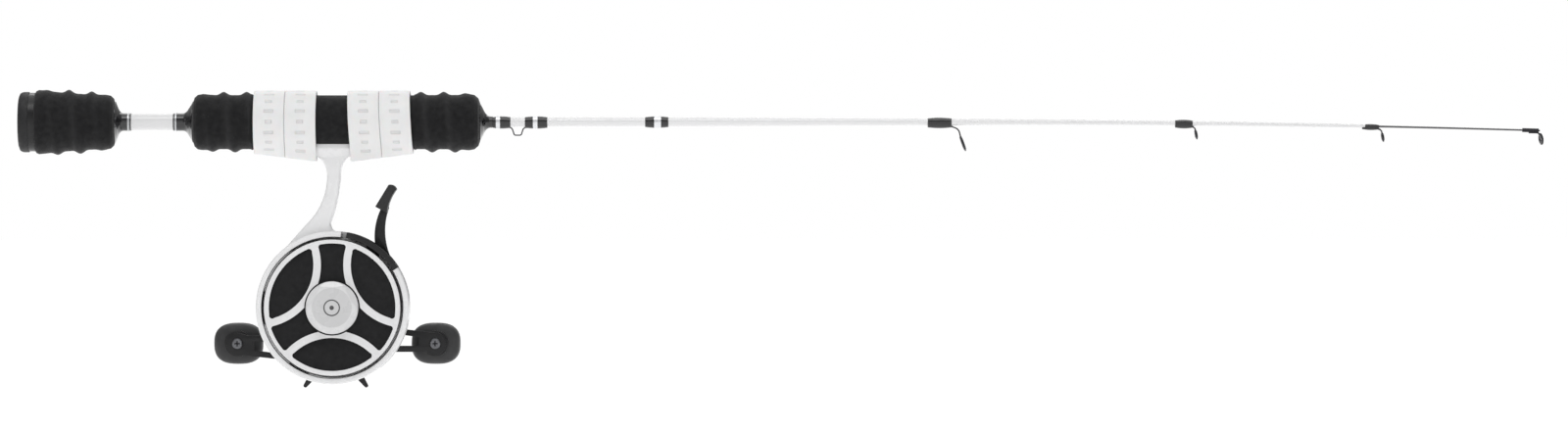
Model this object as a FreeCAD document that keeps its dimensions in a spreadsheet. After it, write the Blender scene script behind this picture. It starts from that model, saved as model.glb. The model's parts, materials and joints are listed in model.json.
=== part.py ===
"""Ice fishing rod with an inline free-fall reel.

Millimetres. +X runs along the rod from butt to tip, +Z is up and the reel hangs below the rod.
The origin is on the rod's axis over the middle of the reel foot, where the hand holds it.
The reel's face looks along -Y and its crank is on the +Y side.
"""

import FreeCAD
import Part
import Sketcher
import math
import os

Vector = FreeCAD.Vector
Rotation = FreeCAD.Rotation
Placement = FreeCAD.Placement

# Driving dimensions: alias, value. Each one becomes a cell of the spreadsheet.
DIMENSIONS = [
    # Handle, stations along X
    ("butt_end", -146.6), ("cap_front", -141.6), ("ring_front", -138.9), ("rear_grip_front", -101.8),
    ("rear_flare_end", -97.6), ("rear_sleeve_end", -94.2), ("mid_sleeve_start", -74.6),
    ("mid_flare_start", -70.0), ("grip_rear", -65.2), ("seat_rear", -36.9), ("seat_front", 37.6),
    ("grip_front", 68.6), ("nose_flare_end", 73.4),
    # Handle, radii
    ("cap_radius", 14.1), ("ring_radius", 13.7), ("rear_grip_wide", 15.2), ("rear_grip_narrow", 12.8),
    ("grip_radius", 13.3), ("seat_radius", 12.6), ("seat_flat", 10.25), ("tube_radius", 3.75),
    ("tube_bore", 2.3), ("sleeve_radius", 4.3), ("flare_radius", 9.6), ("nose_flare_radius", 8.4),
    ("foam_round", 3.0), ("fit_gap", 0.03),
    # Blank: straight to bend_start, then a long downward arc
    ("blank_butt", -58.0), ("blank_end", 484.0), ("tip_socket", 12.0), ("tip_end", 563.4),
    ("bend_start", 300.0), ("bend_radius", 8800.0), ("blank_radius", 2.25), ("blank_taper_start", 170.0),
    ("blank_mid_radius", 1.5), ("blank_mid", 302.0), ("blank_end_radius", 0.85), ("tip_radius", 0.5),
    ("tip_end_radius", 0.42),
    # Thread wraps and fittings
    ("wrap_build", 0.5), ("wrap_edge", 0.12), ("keeper_start", 82.8), ("keeper_finish", 89.6),
    ("keeper_wrap_end", 100.0), ("keeper_drop", 6.4), ("keeper_wire", 0.3), ("hosel_start", 145.7),
    ("hosel_end", 156.5),
    # Reel foot, stem and bands
    ("foot_reach", 35.0), ("foot_root", 8.0), ("saddle_half", 7.4), ("foot_half_width", 6.6),
    ("foot_depth", 16.3),
    ("foot_tip_depth", 12.9), ("foot_tip_width", 4.6), ("foot_keel", 4.0), ("stem_half", 3.6),
    ("band_wall", 1.9), ("band_gap", 0.15), ("band_inner_edge", 7.6), ("band_seam", 22.2),
    ("band_outer_edge", 36.7),
    # Reel body, measured from the spool axis
    ("spool_drop", 86.6), ("rim_radius", 35.7), ("rim_bore", 32.95), ("rim_front", -8.4),
    ("plate_front", 9.0), ("plate_back", 11.0), ("trigger_travel", 4.0), ("trigger_low", 31.8),
    ("trigger_high", 79.0), ("cover_wall", 1.6), ("cavity_back", 19.6), ("housing_top", 15.2),
    ("housing_low", 16.0),
    # Spool
    ("flange_radius", 32.0), ("flange_front", -8.0), ("flange_rear", 7.4), ("face_front", -9.7),
    ("arbor_radius", 21.0), ("hub_radius", 6.4), ("spindle_radius", 2.0), ("window_radius", 29.5),
    ("lens_radius", 25.8), ("lens_reach", 39.85), ("spoke_radius", 29.3), ("cap_rim", 12.3),
    ("cap_back", -10.4), ("cap_face", -13.4),
    # Drive train, measured from the crank axis
    ("gear_module", 0.72), ("drive_teeth", 35), ("pinion_teeth", 13), ("tooth_backlash", 0.14),
    ("clutch_travel", 0.8), ("shaft_radius", 3.0), ("star_reach", 25.2), ("crank_radius", 46.5),
    ("arm_front", 28.0), ("arm_back", 30.4), ("knob_front", 31.6), ("knob_back", 48.5),
    ("knob_half_length", 11.8), ("knob_half_width", 10.0), ("arm_hub", 9.2), ("arm_eye", 5.2),
    ("knob_screw", 1.15),
]


class Size:
    """A length that carries its value together with the spreadsheet expression that gives it."""

    def __init__(self, value, text):
        self.value = float(value)
        self.text = text

    def __float__(self):
        return self.value

    def __neg__(self):
        return Size(-self.value, "-(" + self.text + ")")

    def __add__(self, other):
        return Size(self.value + float(other), "(" + self.text + " + " + words(other) + ")")

    def __sub__(self, other):
        return Size(self.value - float(other), "(" + self.text + " - " + words(other) + ")")

    def __mul__(self, other):
        return Size(self.value * float(other), "(" + self.text + " * " + words(other) + ")")

    def __truediv__(self, other):
        return Size(self.value / float(other), "(" + self.text + " / " + words(other) + ")")

    def __radd__(self, other):
        return Size(float(other), words(other)) + self

    def __rsub__(self, other):
        return Size(float(other), words(other)) - self

    def __rmul__(self, other):
        return self * other


def words(quantity):
    """The expression text of a Size, or of a plain number."""
    return quantity.text if isinstance(quantity, Size) else repr(float(quantity))


class SizeTable:
    """The spreadsheet, with each alias as an attribute that is a Size."""

    def __init__(self, doc):
        self.sheet = doc.addObject("Spreadsheet::Sheet", "Sizes")
        for row, (alias, value) in enumerate(DIMENSIONS, start=1):
            self.sheet.set("A" + str(row), alias)
            self.sheet.set("B" + str(row), str(value))
            self.sheet.setAlias("B" + str(row), alias)
            setattr(self, alias, Size(value, "Sizes." + alias))


doc = FreeCAD.newDocument("ice_rod")
s = SizeTable(doc)
doc.recompute()

CRANK_DROP = s.spool_drop + s.gear_module * (s.drive_teeth + s.pinion_teeth) / 2
SPOOL_PLACE = (0, 0, -s.spool_drop)
CRANK_PLACE = (0, 0, -CRANK_DROP)
subparts = []


# ---------------------------------------------------------------- helpers

def keep(obj, label):
    """Registers obj as a sub-part under its own label."""
    obj.Label = label
    subparts.append(obj)
    return obj


def bind(obj, prop, quantity):
    """Sets a property from a Size through the sheet, or from a plain number."""
    if isinstance(quantity, Size):
        obj.setExpression(prop, quantity.text)
    else:
        obj.setExpression(prop, repr(float(quantity)))


def place(obj, at):
    for axis, quantity in zip("xyz", at):
        bind(obj, "Placement.Base." + axis, quantity)


def new_body(label, at=(0, 0, 0)):
    body = doc.addObject("PartDesign::Body", label)
    place(body, at)
    return keep(body, label)


def new_sketch(body, role, offset=None):
    """A sketch on one of the body's own origin planes, moved along the plane's normal by offset."""
    sketch = body.newObject("Sketcher::SketchObject", body.Name + "_sketch")
    plane = [p for p in body.Origin.OriginFeatures if p.Role == role][0]
    sketch.AttachmentSupport = [(plane, "")]
    sketch.MapMode = "FlatFace"
    if offset is not None:
        bind(sketch, "AttachmentOffset.Base.z", offset)
    return sketch


def pin_point(sketch, edge, end, corner):
    """Fixes one end of an edge at corner, both coordinates bound to the sheet."""
    for kind, axis_line, quantity in (("DistanceX", -2, corner[0]), ("DistanceY", -1, corner[1])):
        if abs(float(quantity)) < 1e-9:
            sketch.addConstraint(Sketcher.Constraint("PointOnObject", edge, end, axis_line))
            continue
        number = sketch.addConstraint(Sketcher.Constraint(kind, -1, 1, edge, end, float(quantity)))
        if isinstance(quantity, Size):
            sketch.setExpression("Constraints[" + str(number) + "]", quantity.text)


def outline(sketch, corners):
    """A closed outline. A corner is (u, v), or (u, v, mu, mv) where an arc through (mu, mv) leads on."""
    points = [Vector(float(c[0]), float(c[1]), 0) for c in corners]
    ends = []
    for i, corner in enumerate(corners):
        a, b = points[i], points[(i + 1) % len(corners)]
        if len(corner) == 2:
            edge = sketch.addGeometry(Part.LineSegment(a, b))
            ends.append((edge, 1, 2))
        else:
            middle = Vector(float(corner[2]), float(corner[3]), 0)
            edge = sketch.addGeometry(Part.Arc(a, middle, b))
            forward = sketch.getPoint(edge, 1).distanceToPoint(a) < 1e-6
            ends.append((edge, 1, 2) if forward else (edge, 2, 1))
            radius = sketch.Geometry[edge].Radius
            sketch.addConstraint(Sketcher.Constraint("Radius", edge, radius))
    for i, (edge, start, end) in enumerate(ends):
        following = ends[(i + 1) % len(ends)]
        sketch.addConstraint(Sketcher.Constraint("Coincident", edge, end, following[0], following[1]))
        pin_point(sketch, edge, start, corners[i])


def turn(body, corners, axis="X"):
    """A revolution about the body's X or Y axis; corners are (station along it, radius)."""
    sketch = new_sketch(body, "XZ_Plane" if axis == "X" else "YZ_Plane")
    outline(sketch, corners)
    feature = body.newObject("PartDesign::Revolution", body.Name + "_turned")
    feature.Profile = sketch
    feature.ReferenceAxis = (sketch, ["H_Axis"])
    feature.Angle = 360
    return feature


def slab(body, front, back, corners, cut=False):
    """A pad, or a pocket, of an XZ outline between Y = front and Y = back."""
    sketch = new_sketch(body, "XZ_Plane", -back)
    outline(sketch, corners)
    kind = "Pocket" if cut else "Pad"
    feature = body.newObject("PartDesign::" + kind, body.Name + "_" + kind)
    feature.Profile = sketch
    bind(feature, "Length", back - front)
    feature.Reversed = cut
    return feature


def hole(body, front, back, x, z, radius):
    """A round hole along Y between Y = front and Y = back."""
    sketch = new_sketch(body, "XZ_Plane", -back)
    circle = sketch.addGeometry(Part.Circle(Vector(float(x), float(z), 0), Vector(0, 0, 1), float(radius)))
    pin_point(sketch, circle, 3, (x, z))
    number = sketch.addConstraint(Sketcher.Constraint("Radius", circle, float(radius)))
    if isinstance(radius, Size):
        sketch.setExpression("Constraints[" + str(number) + "]", radius.text)
    feature = body.newObject("PartDesign::Pocket", body.Name + "_hole")
    feature.Profile = sketch
    bind(feature, "Length", back - front)
    feature.Reversed = True
    return feature


def polar(radius, degrees):
    angle = math.radians(degrees)
    return radius * math.cos(angle), radius * math.sin(angle)


def sector(inner, outer, start, finish):
    """Corners of an annular sector between two radii and two angles in degrees."""
    middle = (start + finish) / 2
    return [
        (*polar(outer, start), *polar(outer, middle)),
        polar(outer, finish),
        (*polar(inner, finish), *polar(inner, middle)),
        polar(inner, start),
    ]


def round_edges(body, radius, wanted):
    """Fillets the tip's edges for which wanted(edge) is true."""
    doc.recompute()
    names = ["Edge" + str(i + 1) for i, e in enumerate(body.Tip.Shape.Edges) if wanted(e)]
    if not names:
        raise RuntimeError("no edge to round on " + body.Label)
    base = body.Tip
    feature = body.newObject("PartDesign::Fillet", body.Name + "_round")
    feature.Base = (base, names)
    feature.Radius = radius
    body.Tip = feature
    doc.recompute()
    return feature


def is_circle_at(axis, station, radius):
    """A test for a full circle about the X or Y axis at a station along it."""
    def test(edge):
        if not isinstance(edge.Curve, Part.Circle) or not edge.isClosed():
            return False
        centre = edge.Curve.Center
        along = centre.x if axis == "X" else centre.y
        return abs(along - float(station)) < 0.01 and abs(edge.Curve.Radius - float(radius)) < 0.01
    return test


def direct(label, shape, at=(0, 0, 0)):
    """A Part::Feature for a shape that neither sketches nor primitives suit; sizes come from the sheet."""
    feature = doc.addObject("Part::Feature", label)
    feature.Shape = shape
    feature.Placement = Placement(Vector(*[float(c) for c in at]), Rotation()).multiply(shape.Placement)
    return keep(feature, label)


def cylinder(x1, x2, radius):
    """A plain rod along X."""
    return Part.makeCylinder(float(radius), float(x2) - float(x1), Vector(float(x1), 0, 0), Vector(1, 0, 0))


def disc(y1, y2, radius, x=0.0, z=0.0):
    """A plain disc along Y."""
    return Part.makeCylinder(float(radius), float(y2) - float(y1), Vector(x, float(y1), z), Vector(0, 1, 0))


def washer(label, y1, y2, inner, outer, at):
    return turn(new_body(label, at), [(y1, inner), (y2, inner), (y2, outer), (y1, outer)], "Y")


def wire_bar(points, radius):
    """A round wire through points, straight runs joined by tangent arcs."""
    corners = [Vector(*p) for p in points]
    edges, start = [], corners[0]
    for before, corner, after in zip(corners, corners[1:], corners[2:]):
        run = min((corner - before).Length, (after - corner).Length) * 0.45
        inward = (before - corner).normalize()
        outward = (after - corner).normalize()
        first, last = corner + inward * run, corner + outward * run
        turn_angle = math.pi - inward.getAngle(outward)
        bend_radius = run / math.tan(turn_angle / 2)
        bisector = (inward + outward).normalize()
        centre = corner + bisector * math.hypot(bend_radius, run)
        middle = centre - bisector * bend_radius
        edges.append(Part.LineSegment(start, first).toShape())
        edges.append(Part.Arc(first, middle, last).toShape())
        start = last
    edges.append(Part.LineSegment(start, corners[-1]).toShape())
    path = Part.Wire(edges)
    section = Part.Wire([Part.Circle(corners[0], corners[1] - corners[0], radius).toShape()])
    return path.makePipeShell([section], True, True)


# ---------------------------------------------------------------- handle

def butt_cap():
    body = new_body("butt_cap")
    turn(body, [
        (s.butt_end, 0), (s.butt_end, s.cap_radius), (s.cap_front, s.cap_radius), (s.cap_front, 0),
    ])
    round_edges(body, 1.4, is_circle_at("X", s.butt_end, s.cap_radius))


def butt_ring():
    bore = s.tube_radius + s.fit_gap
    turn(new_body("butt_trim_ring"), [
        (s.cap_front, bore), (s.cap_front, s.ring_radius),
        (s.ring_front, s.ring_radius), (s.ring_front, bore),
    ])


def rear_grip():
    body = new_body("rear_grip")
    bore = s.tube_radius + s.fit_gap
    turn(body, [
        (s.ring_front, bore), (s.ring_front, s.rear_grip_wide),
        (s.rear_grip_front, s.rear_grip_narrow), (s.rear_grip_front, bore),
    ])
    round_edges(body, float(s.foam_round), is_circle_at("X", s.rear_grip_front, s.rear_grip_narrow))
    round_edges(body, 1.0, is_circle_at("X", s.ring_front, s.rear_grip_wide))


def handle_tube():
    turn(new_body("handle_tube"), [
        (s.cap_front, s.tube_bore), (s.cap_front, s.tube_radius),
        (s.grip_front - 1.0, s.tube_radius), (s.grip_front - 1.0, s.tube_bore),
    ])


def front_grip():
    body = new_body("front_grip")
    bore = s.tube_radius + s.fit_gap
    turn(body, [
        (s.grip_rear, bore), (s.grip_rear, s.grip_radius), (s.seat_rear, s.grip_radius),
        (s.seat_rear, s.seat_radius), (s.seat_front, s.seat_radius), (s.seat_front, s.grip_radius),
        (s.grip_front, s.grip_radius), (s.grip_front, bore),
    ])
    half = s.seat_radius + 1
    slab(body, -half, half, [
        (s.seat_rear, -s.seat_flat), (s.seat_rear, -s.seat_radius - 1),
        (s.seat_front, -s.seat_radius - 1), (s.seat_front, -s.seat_flat),
    ], cut=True)
    for station in (s.grip_rear, s.grip_front):
        round_edges(body, float(s.foam_round), is_circle_at("X", station, s.grip_radius))


def winding_check(label, wide_end, wide_radius, narrow_start, narrow_end, narrow_radius, bore):
    """A trumpet-shaped trim: wide at the foam, swept in to a plain sleeve on the tube or blank."""
    middle = (wide_end * 0.35 + narrow_start * 0.65, narrow_radius * 0.72 + wide_radius * 0.28)
    lip = wide_end + (0.8 if float(narrow_start) > float(wide_end) else -0.8)
    turn(new_body(label), [
        (wide_end, bore), (wide_end, wide_radius), (lip, wide_radius, *middle),
        (narrow_start, narrow_radius), (narrow_end, narrow_radius), (narrow_end, bore),
    ])


def winding_checks():
    bore = s.tube_radius + s.fit_gap
    winding_check("rear_winding_check", s.rear_grip_front, s.flare_radius, s.rear_flare_end,
                  s.rear_sleeve_end, s.sleeve_radius, bore)
    winding_check("middle_winding_check", s.grip_rear, s.flare_radius, s.mid_flare_start,
                  s.mid_sleeve_start, s.sleeve_radius, bore)
    nose_bore = s.blank_radius + s.fit_gap
    winding_check("front_winding_check", s.grip_front, s.nose_flare_radius, s.nose_flare_end,
                  s.nose_flare_end + 1.2, s.blank_radius + s.wrap_build, nose_bore)


# ---------------------------------------------------------------- blank, wraps and guides

def droop(x):
    """Height of the blank's centre line at station x, and its slope in degrees."""
    past = max(0.0, x - float(s.bend_start))
    return -past ** 2 / (2 * float(s.bend_radius)), -math.degrees(past / float(s.bend_radius))


def blank_radius_at(x):
    stations = [
        (s.blank_taper_start, s.blank_radius), (s.blank_mid, s.blank_mid_radius),
        (s.blank_end, s.blank_end_radius),
    ]
    if x <= float(s.blank_taper_start):
        return float(s.blank_radius)
    if x > float(s.blank_end):
        return tip_radius_at(x)
    for (x1, r1), (x2, r2) in zip(stations, stations[1:]):
        if x <= float(x2):
            share = (x - float(x1)) / (float(x2) - float(x1))
            return float(r1) + share * (float(r2) - float(r1))


def along_blank(x1, x2, radii, steps, ruled=False):
    """A lofted solid on the blank's centre line whose radius is radii(x)."""
    rings = []
    for i in range(steps + 1):
        x = x1 + (x2 - x1) * i / steps
        z, slope = droop(x)
        lean = math.radians(slope)
        normal = Vector(math.cos(lean), 0, math.sin(lean))
        rings.append(Part.Wire([Part.Circle(Vector(x, 0, z), normal, radii(x)).toShape()]))
    return Part.makeLoft(rings, True, ruled)


def rod_blank():
    straight = Part.makeCylinder(
        float(s.blank_radius), float(s.blank_taper_start - s.blank_butt),
        Vector(float(s.blank_butt), 0, 0), Vector(1, 0, 0))
    taper = Part.makeCone(
        float(s.blank_radius), float(s.blank_mid_radius), float(s.blank_mid - s.blank_taper_start),
        Vector(float(s.blank_taper_start), 0, 0), Vector(1, 0, 0))
    bent = along_blank(float(s.blank_mid), float(s.blank_end), blank_radius_at, 6)
    socket_start = float(s.blank_end - s.tip_socket)
    socket = along_blank(socket_start, float(s.blank_end) + 1, lambda x: float(s.tip_radius) + 0.02, 2)
    direct("rod_blank", straight.fuse([taper, bent]).cut(socket).removeSplitter())


def rod_tip():
    socket_start = float(s.blank_end - s.tip_socket)
    direct("tip_section", along_blank(socket_start + 0.1, float(s.tip_end), tip_radius_at, 5))


def tip_radius_at(x):
    share = max(0.0, x - float(s.blank_end)) / (float(s.tip_end) - float(s.blank_end))
    return float(s.tip_radius) + share * (float(s.tip_end_radius) - float(s.tip_radius))


def local_frame(x):
    """The placement that carries a shape built about the origin onto the blank at station x."""
    z, slope = droop(x)
    return Placement(Vector(x, 0, z), Rotation(Vector(0, 1, 0), -slope))


def wrap_solid(half, radius, drop=0.0):
    """A thread wrap about X, thin at both ends, with an optional bulge below over a guide foot."""
    edge, crown = radius + float(s.wrap_edge), radius + float(s.wrap_build)
    profile = Part.Wire([
        Part.LineSegment(Vector(-half, 0, 0), Vector(-half, 0, edge)).toShape(),
        Part.Arc(Vector(-half, 0, edge), Vector(0, 0, crown), Vector(half, 0, edge)).toShape(),
        Part.LineSegment(Vector(half, 0, edge), Vector(half, 0, 0)).toShape(),
        Part.LineSegment(Vector(half, 0, 0), Vector(-half, 0, 0)).toShape(),
    ])
    solid = Part.Face(profile).revolve(Vector(0, 0, 0), Vector(1, 0, 0), 360)
    if drop:
        lower = solid.copy()
        lower.translate(Vector(0, 0, -drop))
        solid = solid.fuse(lower)
    return solid


def put_on_blank(solid, x, hollow_half, extra_cuts=()):
    """Places a solid built at the origin at station x and cuts the blank's room out of it."""
    solid.Placement = local_frame(x).multiply(solid.Placement)
    gap, joint = float(s.fit_gap), float(s.blank_end)
    x1, x2 = x - hollow_half, x + hollow_half
    spans = [(x1, x2)] if joint < x1 or joint > x2 else [(x1, joint + gap), (joint, x2)]
    for start, finish in spans:
        on_tip = start >= joint
        radii = tip_radius_at if on_tip else blank_radius_at
        reach = (lambda at: radii(at) + gap) if on_tip else (lambda at: radii(min(at, joint)) + gap)
        room = along_blank(start, finish, reach, 4, True)
        solid = solid.cut(room)
    for cutter in extra_cuts:
        solid = solid.cut(cutter)
    return solid


def trim_ring(x, width, inner, outer, drop=0.0):
    """A bright ring of thread lying on a wrap or sleeve, following its bulge below if it has one."""
    layers = []
    for radius, half in ((outer, width / 2), (inner, width)):
        layer = cylinder(-half, half, radius)
        if drop:
            lower = layer.copy()
            lower.translate(Vector(0, 0, -drop))
            layer = layer.fuse(lower)
        layers.append(layer)
    band = layers[0].cut(layers[1])
    band.Placement = local_frame(x)
    return band


# How far a keeper wrap bulges below the blank over the wire's foot.
KEEPER_BULGE = 0.35


def plain_wraps():
    """The thread wraps with no guide under them."""
    radius = float(s.blank_radius)
    keeper_spans = [
        (float(s.nose_flare_end) + 1.2, float(s.keeper_start)),
        (float(s.keeper_finish), float(s.keeper_wrap_end)),
    ]
    keeper_wraps = []
    for x1, x2 in keeper_spans:
        half, middle = (x2 - x1) / 2, (x1 + x2) / 2
        solid = wrap_solid(half, radius, KEEPER_BULGE)
        keeper_wraps.append(put_on_blank(solid, middle, half + 2, [keeper_wire_shape(0.03)]))
    direct("keeper_wraps", Part.makeCompound(keeper_wraps))
    half = float(s.hosel_end - s.hosel_start) / 2
    middle = float(s.hosel_end + s.hosel_start) / 2
    direct("hosel_wrap", put_on_blank(wrap_solid(half, radius), middle, half + 2))


def keeper_wire_shape(extra):
    """The bent wire of the hook keeper, its two feet lying along the underside of the blank."""
    x1, x2 = float(s.keeper_start), float(s.keeper_finish)
    low = -float(s.keeper_drop) + float(s.keeper_wire)
    foot = -float(s.blank_radius) - float(s.keeper_wire) - float(s.fit_gap)
    points = [
        (x1 - 4.2, 0, foot), (x1 + 0.6, 0, foot), (x1 + 1.35, 0, foot * 0.45 + low * 0.55),
        (x1 + 1.75, 0, low), (x2 - 1.75, 0, low), (x2 - 1.35, 0, foot * 0.45 + low * 0.55),
        (x2 - 0.6, 0, foot), (x2 + 4.2, 0, foot),
    ]
    return wire_bar(points, float(s.keeper_wire) + extra)


# Line guides: station of the ring, drop of its centre below the blank, wire ring radius,
# ceramic bore, lean in degrees, and where the thread wrap starts.
GUIDES = {
    "stripper_guide": dict(ring_x=294.0, drop=9.9, loop=3.55, bore=2.55, lean=20, wrap=(277.6, 288.7)),
    "second_guide": dict(ring_x=402.9, drop=5.1, loop=2.1, bore=1.35, lean=11, wrap=(393.1, 401.2)),
    "third_guide": dict(ring_x=490.0, drop=4.9, loop=2.0, bore=1.3, lean=11, wrap=(480.4, 488.3)),
}
GUIDE_WIRE = 0.36


def guide_ring_place(guide):
    """Where a guide's ring sits: its axis along the rod, leaned back by lean."""
    z, slope = droop(guide["ring_x"])
    return Placement(Vector(guide["ring_x"], 0, z - guide["drop"]),
                     Rotation(Vector(0, 1, 0), guide["lean"] * -1 - slope))


def ceramic_ring(place_, bore, wall, length):
    """A short hard ring with rounded ends, about X before it is placed."""
    half, outer = length / 2, bore + wall
    profile = Part.Wire([
        Part.LineSegment(Vector(-half, 0, bore), Vector(half, 0, bore)).toShape(),
        Part.Arc(Vector(half, 0, bore), Vector(half + 0.2, 0, bore + wall / 2),
                 Vector(half, 0, outer)).toShape(),
        Part.LineSegment(Vector(half, 0, outer), Vector(-half, 0, outer)).toShape(),
        Part.Arc(Vector(-half, 0, outer), Vector(-half - 0.2, 0, bore + wall / 2),
                 Vector(-half, 0, bore)).toShape(),
    ])
    ring = Part.Face(profile).revolve(Vector(0, 0, 0), Vector(1, 0, 0), 360)
    ring.Placement = place_
    return ring


def guide_frame_shape(guide):
    """A single-foot frame: a strip under the blank, two legs and a wire loop."""
    x1, x2 = guide["wrap"]
    z2, slope = droop(x2)
    radius = blank_radius_at(x1)
    thick, width = 0.5, 1.3
    foot_length = (x2 - x1) * 0.62
    foot = Part.makeBox(foot_length + 0.6, width, thick, Vector(-foot_length, -width / 2, 0))
    top = z2 - radius - float(s.fit_gap) - 0.02
    foot.Placement = Placement(Vector(x2, 0, top - thick), Rotation(Vector(0, 1, 0), -slope))
    ring_at = guide_ring_place(guide)
    loop = Part.makeTorus(guide["loop"], GUIDE_WIRE, Vector(0, 0, 0), Vector(1, 0, 0))
    loop.Placement = ring_at
    legs = []
    for side in (-1, 1):
        start = Vector(x2 - 0.6, side * 0.3, top - thick / 2)
        bend = Vector(x2 + 0.62 * (guide["ring_x"] - x2), side * guide["loop"] * 0.3,
                      top - thick / 2 - 0.12 * guide["drop"])
        angle = math.radians(35)
        end = ring_at.multVec(Vector(0, side * guide["loop"] * math.sin(angle),
                                     guide["loop"] * math.cos(angle)))
        legs.append(wire_bar([tuple(start), tuple(bend), tuple(end)], GUIDE_WIRE * 0.85))
    return foot.fuse([loop, *legs])


def line_guides():
    rings, wraps = [], []
    for name, guide in GUIDES.items():
        x1, x2 = guide["wrap"]
        half, middle = (x2 - x1) / 2, (x1 + x2) / 2
        ceramic = ceramic_ring(guide_ring_place(guide), guide["bore"],
                               guide["loop"] - GUIDE_WIRE - guide["bore"] - 0.02 + 0.1, 0.9)
        frame = guide_frame_shape(guide).cut(ceramic)
        direct(name, frame)
        rings.append(ceramic)
        radius = blank_radius_at(middle)
        wraps.append(put_on_blank(wrap_solid(half, radius + 0.05, 0.75), middle, half + 2, [frame]))
    direct("guide_rings", Part.makeCompound(rings))
    direct("guide_wraps", Part.makeCompound(wraps))


TIP_TOP = dict(tube=(555.2, 562.8), ring_x=563.9, drop=3.9, loop=2.45, bore=1.7, lean=10, yaw=14)


def tip_top():
    x1, x2 = TIP_TOP["tube"]
    z, slope = droop(TIP_TOP["ring_x"])
    facing = Rotation(Vector(0, 0, 1), TIP_TOP["yaw"]).multiply(
        Rotation(Vector(0, 1, 0), -TIP_TOP["lean"] - slope))
    ring_at = Placement(Vector(TIP_TOP["ring_x"], 0, z - TIP_TOP["drop"]), facing)
    ring_width = TIP_TOP["loop"] - GUIDE_WIRE - TIP_TOP["bore"] + 0.08
    ceramic = ceramic_ring(ring_at, TIP_TOP["bore"], ring_width, 0.8)
    loop = Part.makeTorus(TIP_TOP["loop"], GUIDE_WIRE, Vector(0, 0, 0), Vector(1, 0, 0))
    loop.Placement = ring_at
    middle, half = (x1 + x2) / 2, (x2 - x1) / 2
    tube = put_on_blank(cylinder(-half, half, 0.95), middle, half + 2)
    legs = []
    z_mid = droop(middle)[0]
    for side in (-1, 1):
        start = (x2 - 4.6, side * 0.25, z_mid - 1.12)
        bend = (x2 - 0.2, side * 0.5, z_mid - 1.2)
        angle = math.radians(38)
        end = tuple(ring_at.multVec(Vector(0, side * TIP_TOP["loop"] * math.sin(angle),
                                           TIP_TOP["loop"] * math.cos(angle))))
        legs.append(wire_bar([start, bend, end], GUIDE_WIRE * 0.85))
    room = along_blank(x1 - 2, float(s.tip_end) + 1, lambda at: blank_radius_at(min(at, float(s.tip_end)))
                       + float(s.fit_gap), 2)
    direct("tip_top_frame", tube.fuse([loop, *legs]).cut(ceramic).cut(room))
    direct("tip_top_ring", ceramic)


def trim_threads():
    """The silver bands and lines laid over the wraps and sleeves."""
    wrap_top = float(s.blank_radius) + float(s.wrap_build)
    tube_top = float(s.sleeve_radius)
    rings = [
        trim_ring(77.0, 1.9, wrap_top + 0.02, wrap_top + 0.12, KEEPER_BULGE),
        trim_ring(94.4, 2.1, wrap_top + 0.02, wrap_top + 0.12, KEEPER_BULGE),
        trim_ring(151.5, 3.2, wrap_top + 0.02, wrap_top + 0.12),
        trim_ring(-95.6, 0.35, tube_top + 0.01, tube_top + 0.1),
        trim_ring(-73.2, 0.35, tube_top + 0.01, tube_top + 0.1),
    ]
    direct("silver_trim_threads", Part.makeCompound(rings))


# ---------------------------------------------------------------- bands over the reel foot

def band_depth_at(x):
    """How far below the rod axis a band passes under the reel foot."""
    span = float(s.foot_reach) - float(s.foot_root)
    share = (abs(x) - float(s.foot_root)) / span
    share = max(0.0, min(1.0, share))
    return float(s.foot_depth) + share * (float(s.foot_tip_depth) - float(s.foot_depth))


def band_section(x, grow):
    """The stretched loop round the grip and the reel foot, at station x."""
    radius = float(s.seat_radius) + float(s.band_gap) + grow
    depth = band_depth_at(x) + float(s.band_gap) + 0.05 + grow
    share = (abs(x) - float(s.foot_root)) / (float(s.foot_reach) - float(s.foot_root))
    keel = float(s.foot_keel) * (1 - 0.35 * max(0.0, min(1.0, share))) + 0.35 + grow * 0.42
    reach = math.hypot(keel, depth)
    leave = math.atan2(-depth, keel) + math.acos(radius / reach)
    touch = Vector(x, radius * math.cos(leave), radius * math.sin(leave))
    corner = Vector(x, keel, -depth)
    mirrored = [Vector(p.x, -p.y, p.z) for p in (touch, corner)]
    return Part.Wire([
        Part.Arc(touch, Vector(x, 0, radius), mirrored[0]).toShape(),
        Part.LineSegment(mirrored[0], mirrored[1]).toShape(),
        Part.LineSegment(mirrored[1], corner).toShape(),
        Part.LineSegment(corner, touch).toShape(),
    ])


def reel_bands():
    inner, seam, outer = float(s.band_inner_edge), float(s.band_seam), float(s.band_outer_edge)
    spans = {
        "rear_outer_band": (-outer, -seam - 0.08), "rear_inner_band": (-seam + 0.08, -inner),
        "front_inner_band": (inner, seam - 0.08), "front_outer_band": (seam + 0.08, outer),
    }
    for label, (x1, x2) in spans.items():
        loops = [
            Part.makeLoft([band_section(x1, grow), band_section(x2, grow)], True, True)
            for grow in (float(s.band_wall), 0.0)
        ]
        direct(label, loops[0].cut(loops[1]))


# ---------------------------------------------------------------- reel frame

def foot_corners(half_width, depth, keel):
    """A foot tab's cross-section, (Y, Z), flat above and keeled below."""
    top, shoulder = -s.seat_flat - 0.05, -(s.seat_flat * 0.62 + depth * 0.38)
    return [
        (-half_width, top), (half_width, top), (half_width, shoulder),
        (keel, -depth), (-keel, -depth), (-half_width, shoulder),
    ]


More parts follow.
